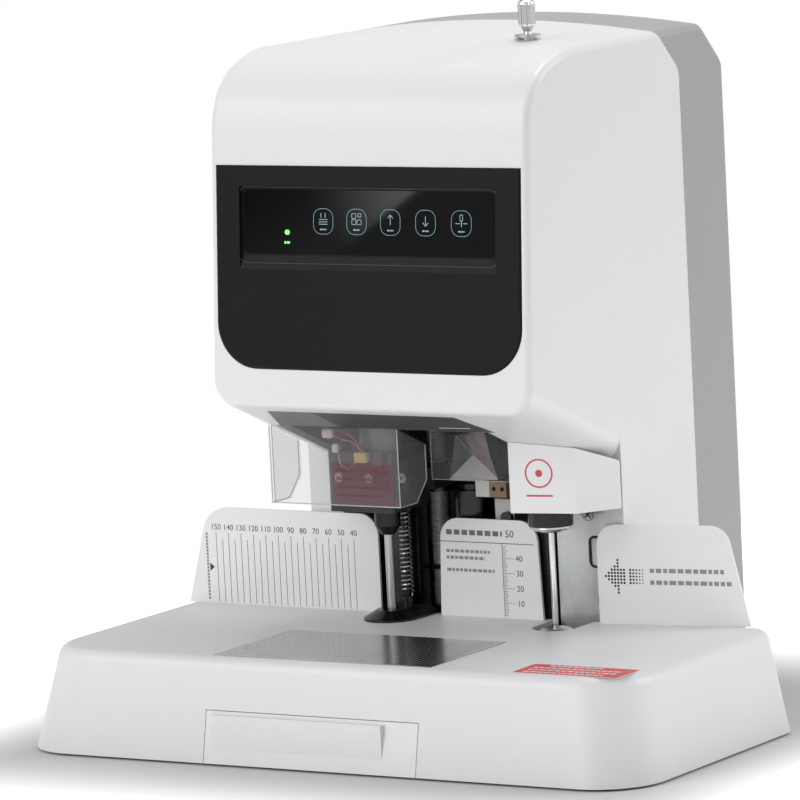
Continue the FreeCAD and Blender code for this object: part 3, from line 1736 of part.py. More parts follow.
def drill_shield():
    """Clear U-shaped guard hung under the head in front of the drill."""
    piece = Piece("drill_shield_sheet")
    x = (-d.shield_left, -d.shield_right)
    front, back = -d.shield_front, -d.shield_front + d.shield_depth
    side = [
        (front, d.shield_low),
        (back - d.shield_cut, d.shield_low),
        (back, d.shield_low + d.shield_cut),
        (back, belly_height(back) - d.seam_gap),
        (front, belly_height(front) - d.seam_gap),
    ]
    piece.pad("side", side, x)
    wall = d.shield_wall
    inside = rectangle((x[0] + wall, x[1] - wall), (front + wall, back + d.overrun))
    piece.pocket("top", inside, (d.shield_low - d.overrun, d.head_bottom))
    return keep("drill_shield", piece.body)


def second_guard():
    piece = Piece("second_guard_sheet")
    x = (-d.second_guard_left, d.second_guard_right)
    y = (d.second_guard_back, d.second_guard_back + d.shield_wall - d.soft_gap)
    piece.pad("front", rectangle(x, (d.second_guard_low, d.post_high)), y)
    return keep("second_guard", piece.body)


def rear_electrics():
    """Mains inlet and switch frame, both flush with the rear wall."""
    wall = d.housing_wall
    rear = d.body_rear
    lip = d.inlet_lip
    for name, centre, width, tall, depth in REAR_FITTINGS:
        piece = Piece(f"{name}_moulding")
        fit = d.fence_fit
        outline = centred(centre, width - fit * 2, tall - fit * 2)
        piece.pad("front", outline, (rear - wall - fit, rear))
        flange = centred(centre, width + lip * 2, tall + lip * 2)
        piece.pad("front", flange, (rear - wall - fit - lip, rear - wall - fit))
        body = centred(centre, width - fit * 2, tall - fit * 2)
        piece.pad("front", body, (rear - depth, rear - wall - fit - lip))
        if name == "power_inlet":
            cavity = centred(centre, d.inlet_cavity_width, d.inlet_cavity_tall, d.fascia_rim * 2)
            piece.pocket("front", cavity, (rear - d.inlet_cavity_depth, rear + d.overrun))
        else:
            cavity = centred(centre, width - lip * 2 - d.fence_fit, tall - lip * 2)
            piece.pocket("front", cavity, (rear - depth + wall, rear + d.overrun))
            pivot = [ROCKER_PIVOT + (d.rocker_pivot_radius + d.running_gap,)]
            reach = width / 2 - lip + d.rocker_pivot_reach
            piece.holes("side", pivot, (centre[0] - reach, centre[0] + reach))
        keep(name, piece.body)
    inlet_pins()
    power_rocker()


ROCKER_PIVOT = (d.body_rear - d.rocker_pivot_depth, d.switch_height)


def centred(centre, width, tall, radius=None):
    x = (centre[0] - width / 2, centre[0] + width / 2)
    z = (centre[1] - tall / 2, centre[1] + tall / 2)
    return rectangle(x, z, radius)


def inlet_pins():
    rear = d.body_rear
    pitch = d.inlet_pin_pitch
    pins = []
    for count, (across, up) in enumerate(((-pitch, ZERO), (pitch, ZERO), (ZERO, d.inlet_pin_rise))):
        x = INLET[0] + across
        z = INLET[1] + up
        half = d.inlet_pin_width / 2
        thick = d.inlet_pin_width / 4
        pins.append(block(
            f"inlet_pin{count}",
            (x - thick, x + thick),
            (rear - d.inlet_cavity_depth, rear - d.inlet_pin_short),
            (z - half, z + half),
        ))
    keep("inlet_pins", group("inlet_pin_set", pins))


def power_rocker():
    piece = Piece("power_rocker_key")
    lip = d.inlet_lip
    half_width = d.switch_width / 2 - lip - d.fence_fit / 2 - d.soft_gap
    half_tall = d.switch_tall / 2 - lip - d.switch_fit
    centre_z = SWITCH[1]
    face = d.body_rear - d.rocker_sink
    corners = [
        (face - d.rocker_depth, centre_z - half_tall * ROCKER_ROOT_SHARE),
        (face - d.rocker_dip, centre_z - half_tall),
        (face - d.rocker_dip / 2, centre_z),
        (face, centre_z + half_tall),
        (face - d.rocker_depth, centre_z + half_tall * ROCKER_ROOT_SHARE),
    ]
    piece.pad("side", corners, (SWITCH[0] - half_width, SWITCH[0] + half_width))
    reach = d.switch_width / 2 - lip + d.rocker_pivot_reach - d.running_gap
    pins = piece.circles("side", [ROCKER_PIVOT + (d.rocker_pivot_radius,)], SWITCH[0] - reach)
    piece.pad_sketch(pins, reach * 2)
    keep("power_rocker", piece.body)


ROCKER_ROOT_SHARE = 0.5


def power_supply():
    piece = block(
        "power_supply_box",
        (-d.supply_left, -d.supply_left + d.supply_width),
        (d.supply_back, d.supply_back + d.supply_depth),
        (PLATE_TOP, PLATE_TOP + d.supply_height),
    )
    return keep("power_supply", piece)


def front_screw(name, x, face, z, radius):
    """Screw head on a front-facing surface."""
    return rod_back(name, radius, x, (face - d.screw_head_thick, face), z)


def screws():
    face = -d.axis_front - d.head_block_front
    lug_face = face + d.clamp_setback
    lug_middle = -d.drill_across + d.head_block_right + d.clamp_width / 2
    height = d.head_screw_height
    radius = d.screw_head_radius
    heads = [
        front_screw("head_screw_left", -d.drill_across - d.head_screw_offset, face, height, radius),
        front_screw("head_screw_middle", -d.drill_across, face, height, radius),
        front_screw("head_screw_lug", lug_middle, lug_face, height, radius),
    ]
    keep("head_screws", group("head_screw_set", heads))
    plate = d.station_plate_back
    left = d.rivet_across + d.plate_screw_offset
    right = d.column_opening_right - d.big_screw_head_radius - d.running_gap
    plates = []
    for count, (x, z) in enumerate(((left, d.plate_screw_height), (right, d.plate_screw_low))):
        plates.append(front_screw(f"plate_screw{count}", x, plate, z, d.big_screw_head_radius))
    keep("plate_screws", group("plate_screw_set", plates))


def check_and_write():
    """Stops on any broken object, then writes one STEP file for each sub-part."""
    DOCUMENT.recompute()
    for item in DOCUMENT.Objects:
        if "Invalid" in item.State or "Error" in item.State:
            raise ValueError(f"{item.Name} is {item.State}")
    os.makedirs("parts", exist_ok=True)
    for node, item in NODES.items():
        shape = item.Shape
        if shape.isNull() or not shape.isValid() or not shape.Solids:
            raise ValueError(f"{node} has no sound solid")
        shape.exportStep(f"parts/{node}.step")
        print(node, len(shape.Solids), round(shape.Volume))


BUILDS = (
    base_tray, base_plate, rubber_feet, work_plate, scrap_drawer, drawer_runners,
    left_fence, centre_fence, right_fence, housings, control_fascia, touch_glass,
    status_lamp, control_board, drill_spindle, spindle_motor, drill_head_block, head_clamp, lift_nut,
    rod_bushes, lift_screw, lift_motor, return_spring, spring_rod, drill_foot, cutting_pad,
    drill_column_guard, guide_rods, rivet_head, press_drive, guide_needle, lower_die,
    rivet_cover, rivet_station_plate, wiring_duct, frame_sides, frame_top, frame_shelf,
    post_and_sensors, drill_shield, second_guard, rear_electrics, power_supply, screws,
)
for build in BUILDS:
    build()
check_and_write()
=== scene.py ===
"""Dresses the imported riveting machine: camera, studio, finishes, prints and fine pieces."""

import json
import math

import bmesh
import bpy
from mathutils import Matrix, Vector


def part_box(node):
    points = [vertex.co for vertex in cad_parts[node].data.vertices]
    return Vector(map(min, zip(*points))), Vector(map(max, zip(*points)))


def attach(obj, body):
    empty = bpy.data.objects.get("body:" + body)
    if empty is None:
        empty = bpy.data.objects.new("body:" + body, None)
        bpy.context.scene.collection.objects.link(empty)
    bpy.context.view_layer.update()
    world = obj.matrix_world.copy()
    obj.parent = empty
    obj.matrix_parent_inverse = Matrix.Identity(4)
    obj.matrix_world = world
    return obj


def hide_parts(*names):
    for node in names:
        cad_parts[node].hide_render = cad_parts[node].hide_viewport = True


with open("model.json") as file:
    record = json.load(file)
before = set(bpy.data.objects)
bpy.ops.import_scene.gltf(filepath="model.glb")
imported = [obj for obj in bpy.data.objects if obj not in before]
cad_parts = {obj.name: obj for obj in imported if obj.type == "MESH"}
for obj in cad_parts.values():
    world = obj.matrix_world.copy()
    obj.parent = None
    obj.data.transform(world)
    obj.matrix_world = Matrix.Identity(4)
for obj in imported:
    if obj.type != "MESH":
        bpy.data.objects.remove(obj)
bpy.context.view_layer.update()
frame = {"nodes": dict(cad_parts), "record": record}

MM = 0.001
ACROSS, INWARD, UPWARD = (1, 0, 0), (0, 1, 0), (0, 0, 1)

# Camera, from a fit of the photograph's straight edges.
LENS = 290.35
SENSOR = 36.0
IMAGE_SIZE = 800
CAMERA_AZIMUTH = math.radians(32.0454)
CAMERA_ELEVATION = math.radians(7.7475)
CAMERA_ROLL = math.radians(-2.9065)
CAMERA_DISTANCE = 4.3005
CAMERA_TARGET = Vector((-0.0600, 0.0415, 0.2071))

# Studio: each light has a name, a place, a size and a power.
LIGHT_AIM = (0.0, 0.0, 0.22)
LIGHTS = (
    ("key", (-1.3, -2.2, 1.9), (1.8, 1.4), 30.0),
    ("front", (-0.6, -2.8, 1.0), (1.2, 0.8), 15.0),
    ("crown", (0.0, 0.2, 1.35), (0.6, 0.6), 5.4),
    ("back", (2.2, 1.6, 1.5), (1.4, 1.4), 34.0),
    ("strip", (-1.0, -2.2, 0.9), (0.12, 1.0), 2.4),
)
PURE_WHITE = (1.0, 1.0, 1.0)
STUDIO_LEVELS = (0.40, 0.68, 0.30)  # well below the horizon, at it, and overhead
HORIZON_SPREAD = 0.25

# Dark screen that the touch panel mirrors, with a glare up to a sharp edge.
# The three image points are the start and end of that edge and a place beyond it.
GLARE_START, GLARE_END, GLARE_SIDE = (418.0, 189.0), (336.5, 254.0), (480.0, 235.0)
GLARE_EDGE = 0.0003
GLARE_FADE = 0.016
GLARE_LEVELS = (0.1, 1.0, 3.6)  # share at the edge's end, share at its start, full level
SCREEN_LEVELS = (0.16, 0.42)
SCREEN_SPREAD = (0.72, 0.90)

# Floor: a painted shadow round the machine's foot, darker and without glow, turning to white over
# FLOOR_FADE metres.
FLOOR_RADIUS, FLOOR_SIDES = 0.80, 96
FLOOR_COLOUR, FLOOR_PAINTED_SHADOW = (0.74, 0.74, 0.745), 0.72
FLOOR_FOOTPRINT = (0.215, 0.165, 0.0)
FLOOR_FADE = 0.26
# The painted shadow reaches less far to the sides than to the front and back.
PAINTED_SHADOW_SIDE_SHORTENING = (1.5, 1.0, 1.0)

# Places taken from the model, in millimetres.
DECK = 68.4
RIVET = (80.7, -6.2)
FENCE_FACE = 13.8
SCALE_ZERO = -44.5
RIGHT_FENCE_LEFT = 102.5
RIGHT_FENCE_ANGLE = math.radians(8.0)
PANEL_FOOT = 220.8
PANEL_ORIGIN = Vector((0.0, -92.8, PANEL_FOOT))
PANEL_LEAN = math.radians(-4.3)
PANEL_UP = Vector((0.0, -math.sin(PANEL_LEAN), math.cos(PANEL_LEAN)))
PANEL_IN = Vector((0.0, math.cos(PANEL_LEAN), math.sin(PANEL_LEAN)))
GLASS_FACE = 1.8
KEY_PLACES = (-34.3, -8.9, 16.7, 43.2, 70.0)
KEY_HEIGHT = 342.4 - PANEL_FOOT
LAMP_LINE_HEIGHT = 328.4 - PANEL_FOOT
SHIELD_X = (-107.0, -7.0)
SHIELD_Y = (-49.0, -14.0)
SHIELD_LOW, SHIELD_CUT, SHEET = 150.0, 14.0, 2.0
BELLY_SLOPE = 0.4234
BELLY_EDGE = (-49.0, 202.28)
ROCKER_MIDDLE = (70.0, 178.25, 92.0)
ROCKER_LEAN = math.atan2(1.25, 4.7)
LIFT_THREAD = {
    "place": (-34.9, 44.0), "low": 70.0, "high": 318.0, "crest": 6.0, "root": 4.7, "pitch": 1.6,
}

# Prints, in millimetres. A digit's size is set so that it comes out at its stated height.
PRINT_LIFT, PRINT_THICKNESS, PRINT_MERGE = 0.06, 0.08, 1e-4
DIGIT_SIZE_SHARE = 1.42
SCALE_DIGITS = 3.9
ARROW_COLUMNS = (0, 1, 2, 3, 5, 2, 2, None, 2, 2, 2, 2, 2)

# Width of the edge rounding of some nodes, in millimetres.
EDGE_BREAKS = {
    "left_fence": 0.4, "centre_fence": 0.4, "right_fence": 0.4, "scrap_drawer": 0.5,
    "rivet_station_plate": 0.3, "drill_head_block": 0.5, "press_block": 0.5,
    "rivet_cover": 1.3, "control_fascia": 0.5, "work_plate": 0.2, "drill_shield": 0.3,
    "second_guard": 0.3, "wiring_duct": 0.5, "terminal_block": 0.4,
    "drill_column_guard": 0.3, "power_inlet": 0.3, "switch_frame": 0.3,
    "power_rocker": 0.4, "rubber_feet": 0.5,
}


def mm(*values):
    """A place in millimetres as a vector in metres."""
    return Vector(values) * MM


def box_mm(node):
    """Low and high corner of a node's box, in millimetres."""
    return [[value / MM for value in corner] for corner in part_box(node)]


# Node trees

class Nodes:
    """Short calls for building the nodes of a material or a world."""

    def __init__(self, owner):
        owner.use_nodes = True
        self.nodes = owner.node_tree.nodes
        self.links = owner.node_tree.links

    def set(self, node, key, value):
        """Links an input or sets its value, where a colour gets full opacity."""
        socket = node.inputs[key]
        if isinstance(value, bpy.types.NodeSocket):
            self.links.new(value, socket)
        elif socket.type == "RGBA":
            socket.default_value = (*value, 1.0)
        else:
            socket.default_value = value

    def add(self, kind, **inputs):
        """A new node. An input's name has _ for each space."""
        node = self.nodes.new(kind)
        for key, value in inputs.items():
            self.set(node, key.replace("_", " "), value)
        return node

    def maths(self, operation, first, second):
        """Result of an operation on two numbers."""
        node = self.nodes.new("ShaderNodeMath")
        node.operation = operation
        self.set(node, 0, first)
        self.set(node, 1, second)
        return node.outputs["Value"]

    def vector(self, operation, first, second=None):
        """Result of an operation on one or two vectors."""
        node = self.nodes.new("ShaderNodeVectorMath")
        node.operation = operation
        self.set(node, 0, first)
        if second is not None:
            self.set(node, 1, second)
        return node.outputs["Value" if operation in ("LENGTH", "DOT_PRODUCT") else "Vector"]

    def spread(self, factor, low, high):
        """A factor from 0 to 1 as a value from low to high."""
        return self.add(
            "ShaderNodeMapRange", Value=factor, To_Min=low, To_Max=high,
        ).outputs["Result"]

    def ramp(self, value, low, high, first, second):
        """Smooth step of a value from one level to another."""
        node = self.add(
            "ShaderNodeMapRange", Value=value,
            From_Min=low, From_Max=high, To_Min=first, To_Max=second,
        )
        node.interpolation_type = "SMOOTHSTEP"
        return node.outputs["Result"]


class Tree(Nodes):
    """A material's nodes, which work from object coordinates."""

    def __init__(self, name):
        self.material = bpy.data.materials.new(name)
        super().__init__(self.material)
        self.shader = self.nodes["Principled BSDF"]
        self.place = self.nodes.new("ShaderNodeTexCoord").outputs["Object"]

    def stretched(self, scale):
        """The coordinates, scaled by its own number on each axis."""
        return self.add("ShaderNodeMapping", Vector=self.place, Scale=scale).outputs["Vector"]

    def noise(self, scale, detail=3.0, vector=None):
        """Noise from 0 to 1, over the plain coordinates or other ones."""
        node = self.add(
            "ShaderNodeTexNoise", Vector=vector or self.place, Scale=scale, Detail=detail,
        )
        return node.outputs["Fac"]

    def between(self, factor, first, second):
        """Mix of two colours, each a tuple or an output."""
        node = self.nodes.new("ShaderNodeMix")
        node.data_type = "RGBA"
        self.set(node, "Factor", factor)
        self.set(node, 6, first)
        self.set(node, 7, second)
        return node.outputs[2]

    def relief(self, height, distance, strength=1.0):
        """Normal of a bump."""
        node = self.add("ShaderNodeBump", Height=height, Distance=distance, Strength=strength)
        return node.outputs["Normal"]

    def use(self, **inputs):
        """Sets inputs of the material's shader."""
        for key, value in inputs.items():
            self.set(self.shader, key.replace("_", " "), value)


def shade(colour, factor):
    """A colour made lighter or darker."""
    return tuple(min(channel * factor, 1.0) for channel in colour)


def moulded(name, colour, rough=0.42, grain=2600.0, depth=0.02, mottle=0.02, reflectance=0.5):
    """Injection-moulded plastic: spark-eroded grain, faint flow marks and handling marks."""
    tree = Tree(name)
    flow = tree.noise(14.0, 4.0)
    base = tree.between(flow, shade(colour, 1 - mottle), shade(colour, 1 + mottle))
    marks = tree.noise(90.0, 5.0)
    gloss = tree.spread(marks, rough - 0.06, rough + 0.08)
    skin = tree.noise(grain, 2.0)
    normal = tree.relief(skin, depth * MM)
    tree.use(Base_Color=base, Roughness=gloss, Normal=normal, Specular_IOR_Level=reflectance)
    return tree.material


def painted(name, colour, rough=0.38, peel=900.0, depth=0.02, metallic=0.0):
    """Baked paint or powder coat with orange peel and small variations of gloss."""
    tree = Tree(name)
    cloud = tree.noise(30.0, 3.0)
    base = tree.between(cloud, shade(colour, 0.97), shade(colour, 1.03))
    gloss = tree.spread(tree.noise(160.0, 4.0), rough - 0.07, rough + 0.08)
    normal = tree.relief(tree.noise(peel, 3.0), depth * MM)
    tree.use(Base_Color=base, Roughness=gloss, Normal=normal, Metallic=metallic)
    return tree.material


def brushed(name, colour, rough, along=(1.0, 40.0, 40.0), depth=0.01, tint=0.12):
    """Metal with fine lines along one direction."""
    tree = Tree(name)
    lines = tree.noise(60.0, 6.0, tree.stretched(along))
    base = tree.between(lines, shade(colour, 1 - tint), shade(colour, 1 + tint))
    gloss = tree.spread(tree.noise(25.0, 3.0), rough - 0.06, rough + 0.08)
    normal = tree.relief(lines, depth * MM, 0.6)
    tree.use(Base_Color=base, Roughness=gloss, Normal=normal, Metallic=1.0)
    return tree.material


def turned(name, colour, rough, depth=0.006):
    """Lathe-turned metal with fine rings up its height."""
    tree = Tree(name)
    rings = tree.noise(40.0, 4.0, tree.stretched((1.0, 1.0, 60.0)))
    base = tree.between(rings, shade(colour, 0.92), shade(colour, 1.05))
    gloss = tree.spread(tree.noise(120.0, 3.0), rough - 0.03, rough + 0.05)
    normal = tree.relief(rings, depth * MM, 0.5)
    tree.use(Base_Color=base, Roughness=gloss, Normal=normal, Metallic=1.0)
    return tree.material


def galvanised(name, colour):
    """Zinc-plated sheet with a faint crystal pattern."""
    tree = Tree(name)
    cells = tree.add("ShaderNodeTexVoronoi", Vector=tree.place, Scale=260.0).outputs["Color"]
    factor = tree.add("ShaderNodeRGBToBW", Color=cells).outputs["Val"]
    base = tree.between(factor, shade(colour, 0.93), shade(colour, 1.05))
    gloss = tree.spread(factor, 0.34, 0.46)
    normal = tree.relief(tree.noise(800.0, 3.0), 0.008 * MM)
    tree.use(Base_Color=base, Roughness=gloss, Normal=normal, Metallic=1.0)
    return tree.material


def clear(name, colour, alpha, rough=0.05):
    """Clear plastic sheet or tinted film with faint wipe marks."""
    tree = Tree(name)
    wipes = tree.noise(30.0, 4.0, tree.stretched((1.0, 1.0, 6.0)))
    tree.use(
        Base_Color=tree.between(wipes, shade(colour, 0.9), shade(colour, 1.05)),
        Roughness=tree.spread(wipes, rough, rough + 0.06),
        Alpha=alpha,
        IOR=1.49,
    )
    tree.material.blend_method = "BLEND"
    return tree.material


def glazed(name, colour, reflectance, rough):
    """Polished dark panel with a trace of handling marks."""
    tree = Tree(name)
    marks = tree.noise(45.0, 5.0)
    tree.use(
        Base_Color=tree.between(marks, shade(colour, 0.8), shade(colour, 1.2)),
        Roughness=tree.spread(marks, rough, rough + 0.012),
        Specular_IOR_Level=reflectance,
    )
    return tree.material


def studio_floor(name):
    """Matt floor with a painted shadow round the machine's foot, brightening into the white
    surround away from it.
    """
    tree = Tree(name)
    # Painted shadow: near the footprint the base colour is darker and the floor gives no glow.
    beyond = tree.vector("SUBTRACT", tree.vector("ABSOLUTE", tree.place), FLOOR_FOOTPRINT)
    beyond = tree.vector("MAXIMUM", beyond, (0.0, 0.0, 0.0))
    reach = tree.vector("LENGTH", tree.vector("MULTIPLY", beyond, PAINTED_SHADOW_SIDE_SHORTENING))
    fade = tree.ramp(reach, 0.0, FLOOR_FADE, 0.0, 1.0)
    cloud = tree.noise(5.0, 3.0)
    mottle = tree.between(cloud, shade(FLOOR_COLOUR, 0.99), shade(FLOOR_COLOUR, 1.01))
    tree.use(
        Base_Color=tree.between(fade, shade(FLOOR_COLOUR, FLOOR_PAINTED_SHADOW), mottle),
        Roughness=0.7,
        Specular_IOR_Level=0.2,
        Emission_Color=tree.between(fade, (0.0, 0.0, 0.0), PURE_WHITE),
        Emission_Strength=1.0,
    )
    return tree.material


def ink(name, colour, rough=0.5, glow=0.0):
    """Printed or lit marking with a slightly uneven edge of gloss."""
    tree = Tree(name)
    speck = tree.noise(1800.0, 2.0)
    base = tree.between(speck, shade(colour, 0.9), shade(colour, 1.06))
    tree.use(Base_Color=base, Roughness=tree.spread(speck, rough - 0.05, rough + 0.05))
    if glow:
        tree.use(Emission_Color=colour, Emission_Strength=glow)
    return tree.material


# Finishes, one for each material slot

WHITE = (0.70, 0.703, 0.71)
GREY = (0.335, 0.338, 0.35)
FASCIA = (0.0078, 0.0077, 0.0077)

FINISHES = {
    "white_shell": moulded("white moulding", WHITE, 0.38),
    "drawer_white": moulded("drawer moulding", (0.69, 0.693, 0.70), 0.42),
    "grey_shell": moulded("grey moulding", GREY, 0.42),
    "fascia_black": moulded("fascia moulding", FASCIA, 0.45, 3200.0, 0.015, 0.1, 0.13),
    "touch_panel": glazed("touch panel", (0.0022, 0.0022, 0.0026), 0.25, 0.008),
    "lamp_green": ink("green lamp", (0.16, 0.90, 0.12), 0.2, 1.6),
    "board_green": painted("circuit board", (0.03, 0.16, 0.07), 0.35),
    "fence_white": painted("fence coat", (0.74, 0.743, 0.75), 0.36),
    "steel": brushed("ground steel", (0.46, 0.46, 0.47), 0.30),
    "zinc": galvanised("zinc plate", (0.54, 0.552, 0.56)),
    "chrome": turned("bright steel", (0.66, 0.66, 0.68), 0.16),
    "alloy": brushed("machined alloy", (0.55, 0.56, 0.57), 0.34),
    "dark_alloy": painted("anodised alloy", (0.022, 0.022, 0.024), 0.34, 1500.0, 0.01),
    "black_metal": painted("black coat", (0.0035, 0.0034, 0.0042), 0.22, 1200.0, 0.004),
    "motor_steel": brushed("motor can", (0.16, 0.16, 0.17), 0.36),
    "brass": turned("turned brass", (0.62, 0.43, 0.16), 0.28),
    "rubber": moulded("foot rubber", (0.02, 0.02, 0.02), 0.75, 900.0, 0.05),
    "clear": clear("clear acrylic", (0.42, 0.425, 0.44), 0.15),
    "nylon": moulded("nylon pad", (0.60, 0.585, 0.54), 0.5, 1500.0, 0.03),
    "brown_plastic": moulded("terminal moulding", (0.20, 0.13, 0.075), 0.4),
    "black_plastic": moulded("black moulding", (0.010, 0.010, 0.011), 0.36),
    "pale_sheet": painted("pale sheet", (0.48, 0.47, 0.45), 0.42),
}

# Finishes of prints and fine pieces
# Black print, also used as painted shade in the screw recesses.
BLACK_PRINT_AND_PAINTED_SHADE = ink("black print and painted shade", (0.02, 0.02, 0.022))
ROW_INK = ink("row print", (0.24, 0.24, 0.245))
LINE_GREY = ink("scribed line", (0.20, 0.20, 0.205), 0.3)
SCALE_INK = ink("scale print", (0.13, 0.13, 0.135))
RED_INK = ink("red print", (0.60, 0.02, 0.03), 0.35)
SOFT_RED_INK = ink("soft red print", (0.54, 0.06, 0.07), 0.4)
MARK_RED = ink("dull red print", (0.13, 0.03, 0.045), 0.4)
WHITE_INK = ink("white print", (0.70, 0.70, 0.70), 0.35)
KEY_INK = ink("key outline", (0.15, 0.34, 0.42), 0.4, 0.12)
ICON_INK = ink("key icon", (0.30, 0.42, 0.46), 0.4, 0.16)
WIRE_RED = ink("red wire", (0.42, 0.06, 0.06), 0.45)
WIRE_PALE = ink("pale wire", (0.45, 0.36, 0.20), 0.45)
WIRE_BLACK = ink("black wire", (0.012, 0.012, 0.012), 0.45)
PLUG_YELLOW = moulded("yellow plug", (0.62, 0.47, 0.14), 0.42)
PLUG_PALE = moulded("pale plug", (0.66, 0.58, 0.56), 0.42)
# Lighter band round the panel recess: a painted highlight along its edge.
RIM_PAINTED_HIGHLIGHT = moulded("recess rim painted highlight", (0.045, 0.045, 0.046), 0.3)
# Painted shade for the inside of the head, seen under its sloping belly.
PAINTED_HALF_SHADE = moulded("painted half shade of head inside", (0.15, 0.147, 0.15), 0.5)
PAINTED_DEEP_SHADE = moulded("painted deep shade of head inside", (0.055, 0.053, 0.054), 0.5)
COVER_PAINT = moulded("rivet cover moulding", (0.74, 0.743, 0.75), 0.40)
# Pale bars along clear edges and creases: painted highlights.
PAINTED_EDGE_GLINT = painted("painted edge glint", (0.56, 0.57, 0.58), 0.18)
TINTED_FILM = clear("tinted film", (0.20, 0.03, 0.06), 0.2, 0.12)
# Pale and rose facets of the folded film: painted reflections.
PALE_PAINTED_REFLECTION = clear("pale film painted reflection", (0.70, 0.67, 0.68), 0.5, 0.1)
ROSE_PAINTED_REFLECTION = clear("rose film painted reflection", (0.50, 0.41, 0.42), 0.42, 0.1)
THIN_CLEAR = clear("thin clear sheet", (0.42, 0.425, 0.44), 0.05)
DARK_STEEL = turned("blackened steel", (0.035, 0.035, 0.038), 0.26)
COIL_STEEL = turned("spring wire", (0.62, 0.62, 0.63), 0.3)
THREAD_STEEL = painted("thread steel", (0.50, 0.50, 0.505), 0.32, 900.0, 0.004, 0.4)
ROD_STEEL = turned("warm bright rod", (0.52, 0.47, 0.43), 0.12)
KNOB_CHROME = turned("knob chrome", (0.88, 0.88, 0.89), 0.14)
DISC_STEEL = turned("bright disc", (0.82, 0.82, 0.83), 0.34)

# The housing white made 6 % darker for the tray: painted shade.
SHADED_TRAY_WHITE = moulded("tray moulding with painted shade", shade(WHITE, 0.94), 0.40)
DECK_STEEL = brushed(
    "deck plate steel", (0.47, 0.475, 0.48), 0.20, along=(14.0, 0.6, 1.0), depth=0.02, tint=0.3,
)

# Nodes with a finish of their own, apart from their slot's.
OWN_FINISHES = {
    "chuck": DARK_STEEL,
    "press_tube": ROD_STEEL,
    "spring_rod": DARK_STEEL,
    "lift_nut": DARK_STEEL,
    "return_spring": COIL_STEEL,
    "rivet_cover": COVER_PAINT,
    "work_plate": DECK_STEEL,
    "base_tray": SHADED_TRAY_WHITE,
    "frame_shelf": FINISHES["black_metal"],
    "second_guard": THIN_CLEAR,
}


def dress_nodes():
    """Gives every CAD node its own finish or that of its slot."""
    for part in frame["record"]["subparts"]:
        item = frame["nodes"][part["node"]]
        material = OWN_FINISHES.get(part["node"], FINISHES[part["material_slot"]])
        if not item.material_slots:
            item.data.materials.append(material)
        for holder in item.material_slots:
            holder.material = material


def soften_nodes():
    """Fine edge rounding on the sheet and machined nodes."""
    for node, width in EDGE_BREAKS.items():
        bevel = frame["nodes"][node].modifiers.new("edge_break", "BEVEL")
        bevel.width = width * MM
        bevel.segments = 2
        bevel.limit_method = "ANGLE"
        bevel.angle_limit = math.radians(40)
        bevel.harden_normals = True


# Camera and studio

def new_object(name, data):
    """An object in the scene."""
    item = bpy.data.objects.new(name, data)
    bpy.context.scene.collection.objects.link(item)
    return item


def camera_axes():
    """The camera's directions: to the right, up, and back towards the viewer."""
    azimuth, elevation, roll = CAMERA_AZIMUTH, CAMERA_ELEVATION, CAMERA_ROLL
    back = Vector((
        math.sin(azimuth) * math.cos(elevation),
        -math.cos(azimuth) * math.cos(elevation),
        math.sin(elevation),
    ))
    right = Vector((math.cos(azimuth), math.sin(azimuth), 0.0))
    up = back.cross(right)
    turned_right = right * math.cos(roll) + up * math.sin(roll)
    turned_up = up * math.cos(roll) - right * math.sin(roll)
    return turned_right, turned_up, back


def add_camera():
    """The view of the photograph."""
    data = bpy.data.cameras.new("photo_view")
    data.lens = LENS
    data.sensor_width = SENSOR
    data.clip_start = 0.1
    data.clip_end = 200.0
    camera = new_object("photo_view", data)
    right, up, back = camera_axes()
    turn = Matrix((right, up, back)).transposed().to_4x4()
    camera.matrix_world = Matrix.Translation(CAMERA_TARGET + back * CAMERA_DISTANCE) @ turn
    bpy.context.scene.camera = camera


def add_light(name, place, size, power):
    """Rectangular light that faces the machine."""
    data = bpy.data.lights.new(name, "AREA")
    data.shape = "RECTANGLE"
    data.size, data.size_y = size
    data.energy = power
    light = new_object(name, data)
    light.location = place
    facing = Vector(LIGHT_AIM) - Vector(place)
    light.rotation_euler = facing.to_track_quat("-Z", "Y").to_euler()


def mirrored_direction(across, down):
    """Where a sight line through an image point goes after it meets the touch panel."""
    right, up, back = camera_axes()
    pixel = SENSOR / IMAGE_SIZE
    middle = IMAGE_SIZE / 2
    sight = (across - middle) * pixel * right + (middle - down) * pixel * up - LENS * back
    sight.normalize()
    return sight.reflect(PANEL_IN).normalized()


def mirrored_screen(tree, direction):
    """Level of the screen with its glare, and how near a direction is to the screen's middle."""
    first, second = mirrored_direction(*GLARE_START), mirrored_direction(*GLARE_END)
    edge = first.cross(second).normalized()
    if edge.dot(mirrored_direction(*GLARE_SIDE)) < 0:
        edge.negate()
    across = tree.vector("DOT_PRODUCT", direction, edge)
    screen = tree.ramp(across, -GLARE_EDGE, GLARE_EDGE, *SCREEN_LEVELS)
    end_share, start_share, full = GLARE_LEVELS
    fade = tree.ramp(across, -GLARE_FADE, 0.0, 0.0, 1.0)
    stop = tree.ramp(across, -GLARE_EDGE, GLARE_EDGE, full, 0.0)
    slope = (first - second).normalized()
    along = tree.vector("DOT_PRODUCT", direction, slope)
    rise = tree.ramp(along, slope.dot(second), slope.dot(first), end_share, start_share)
    glare = tree.maths("MULTIPLY", fade, tree.maths("MULTIPLY", stop, rise))
    nearness = tree.vector("DOT_PRODUCT", direction, (first + second).normalized())
    return tree.maths("ADD", glare, screen), nearness


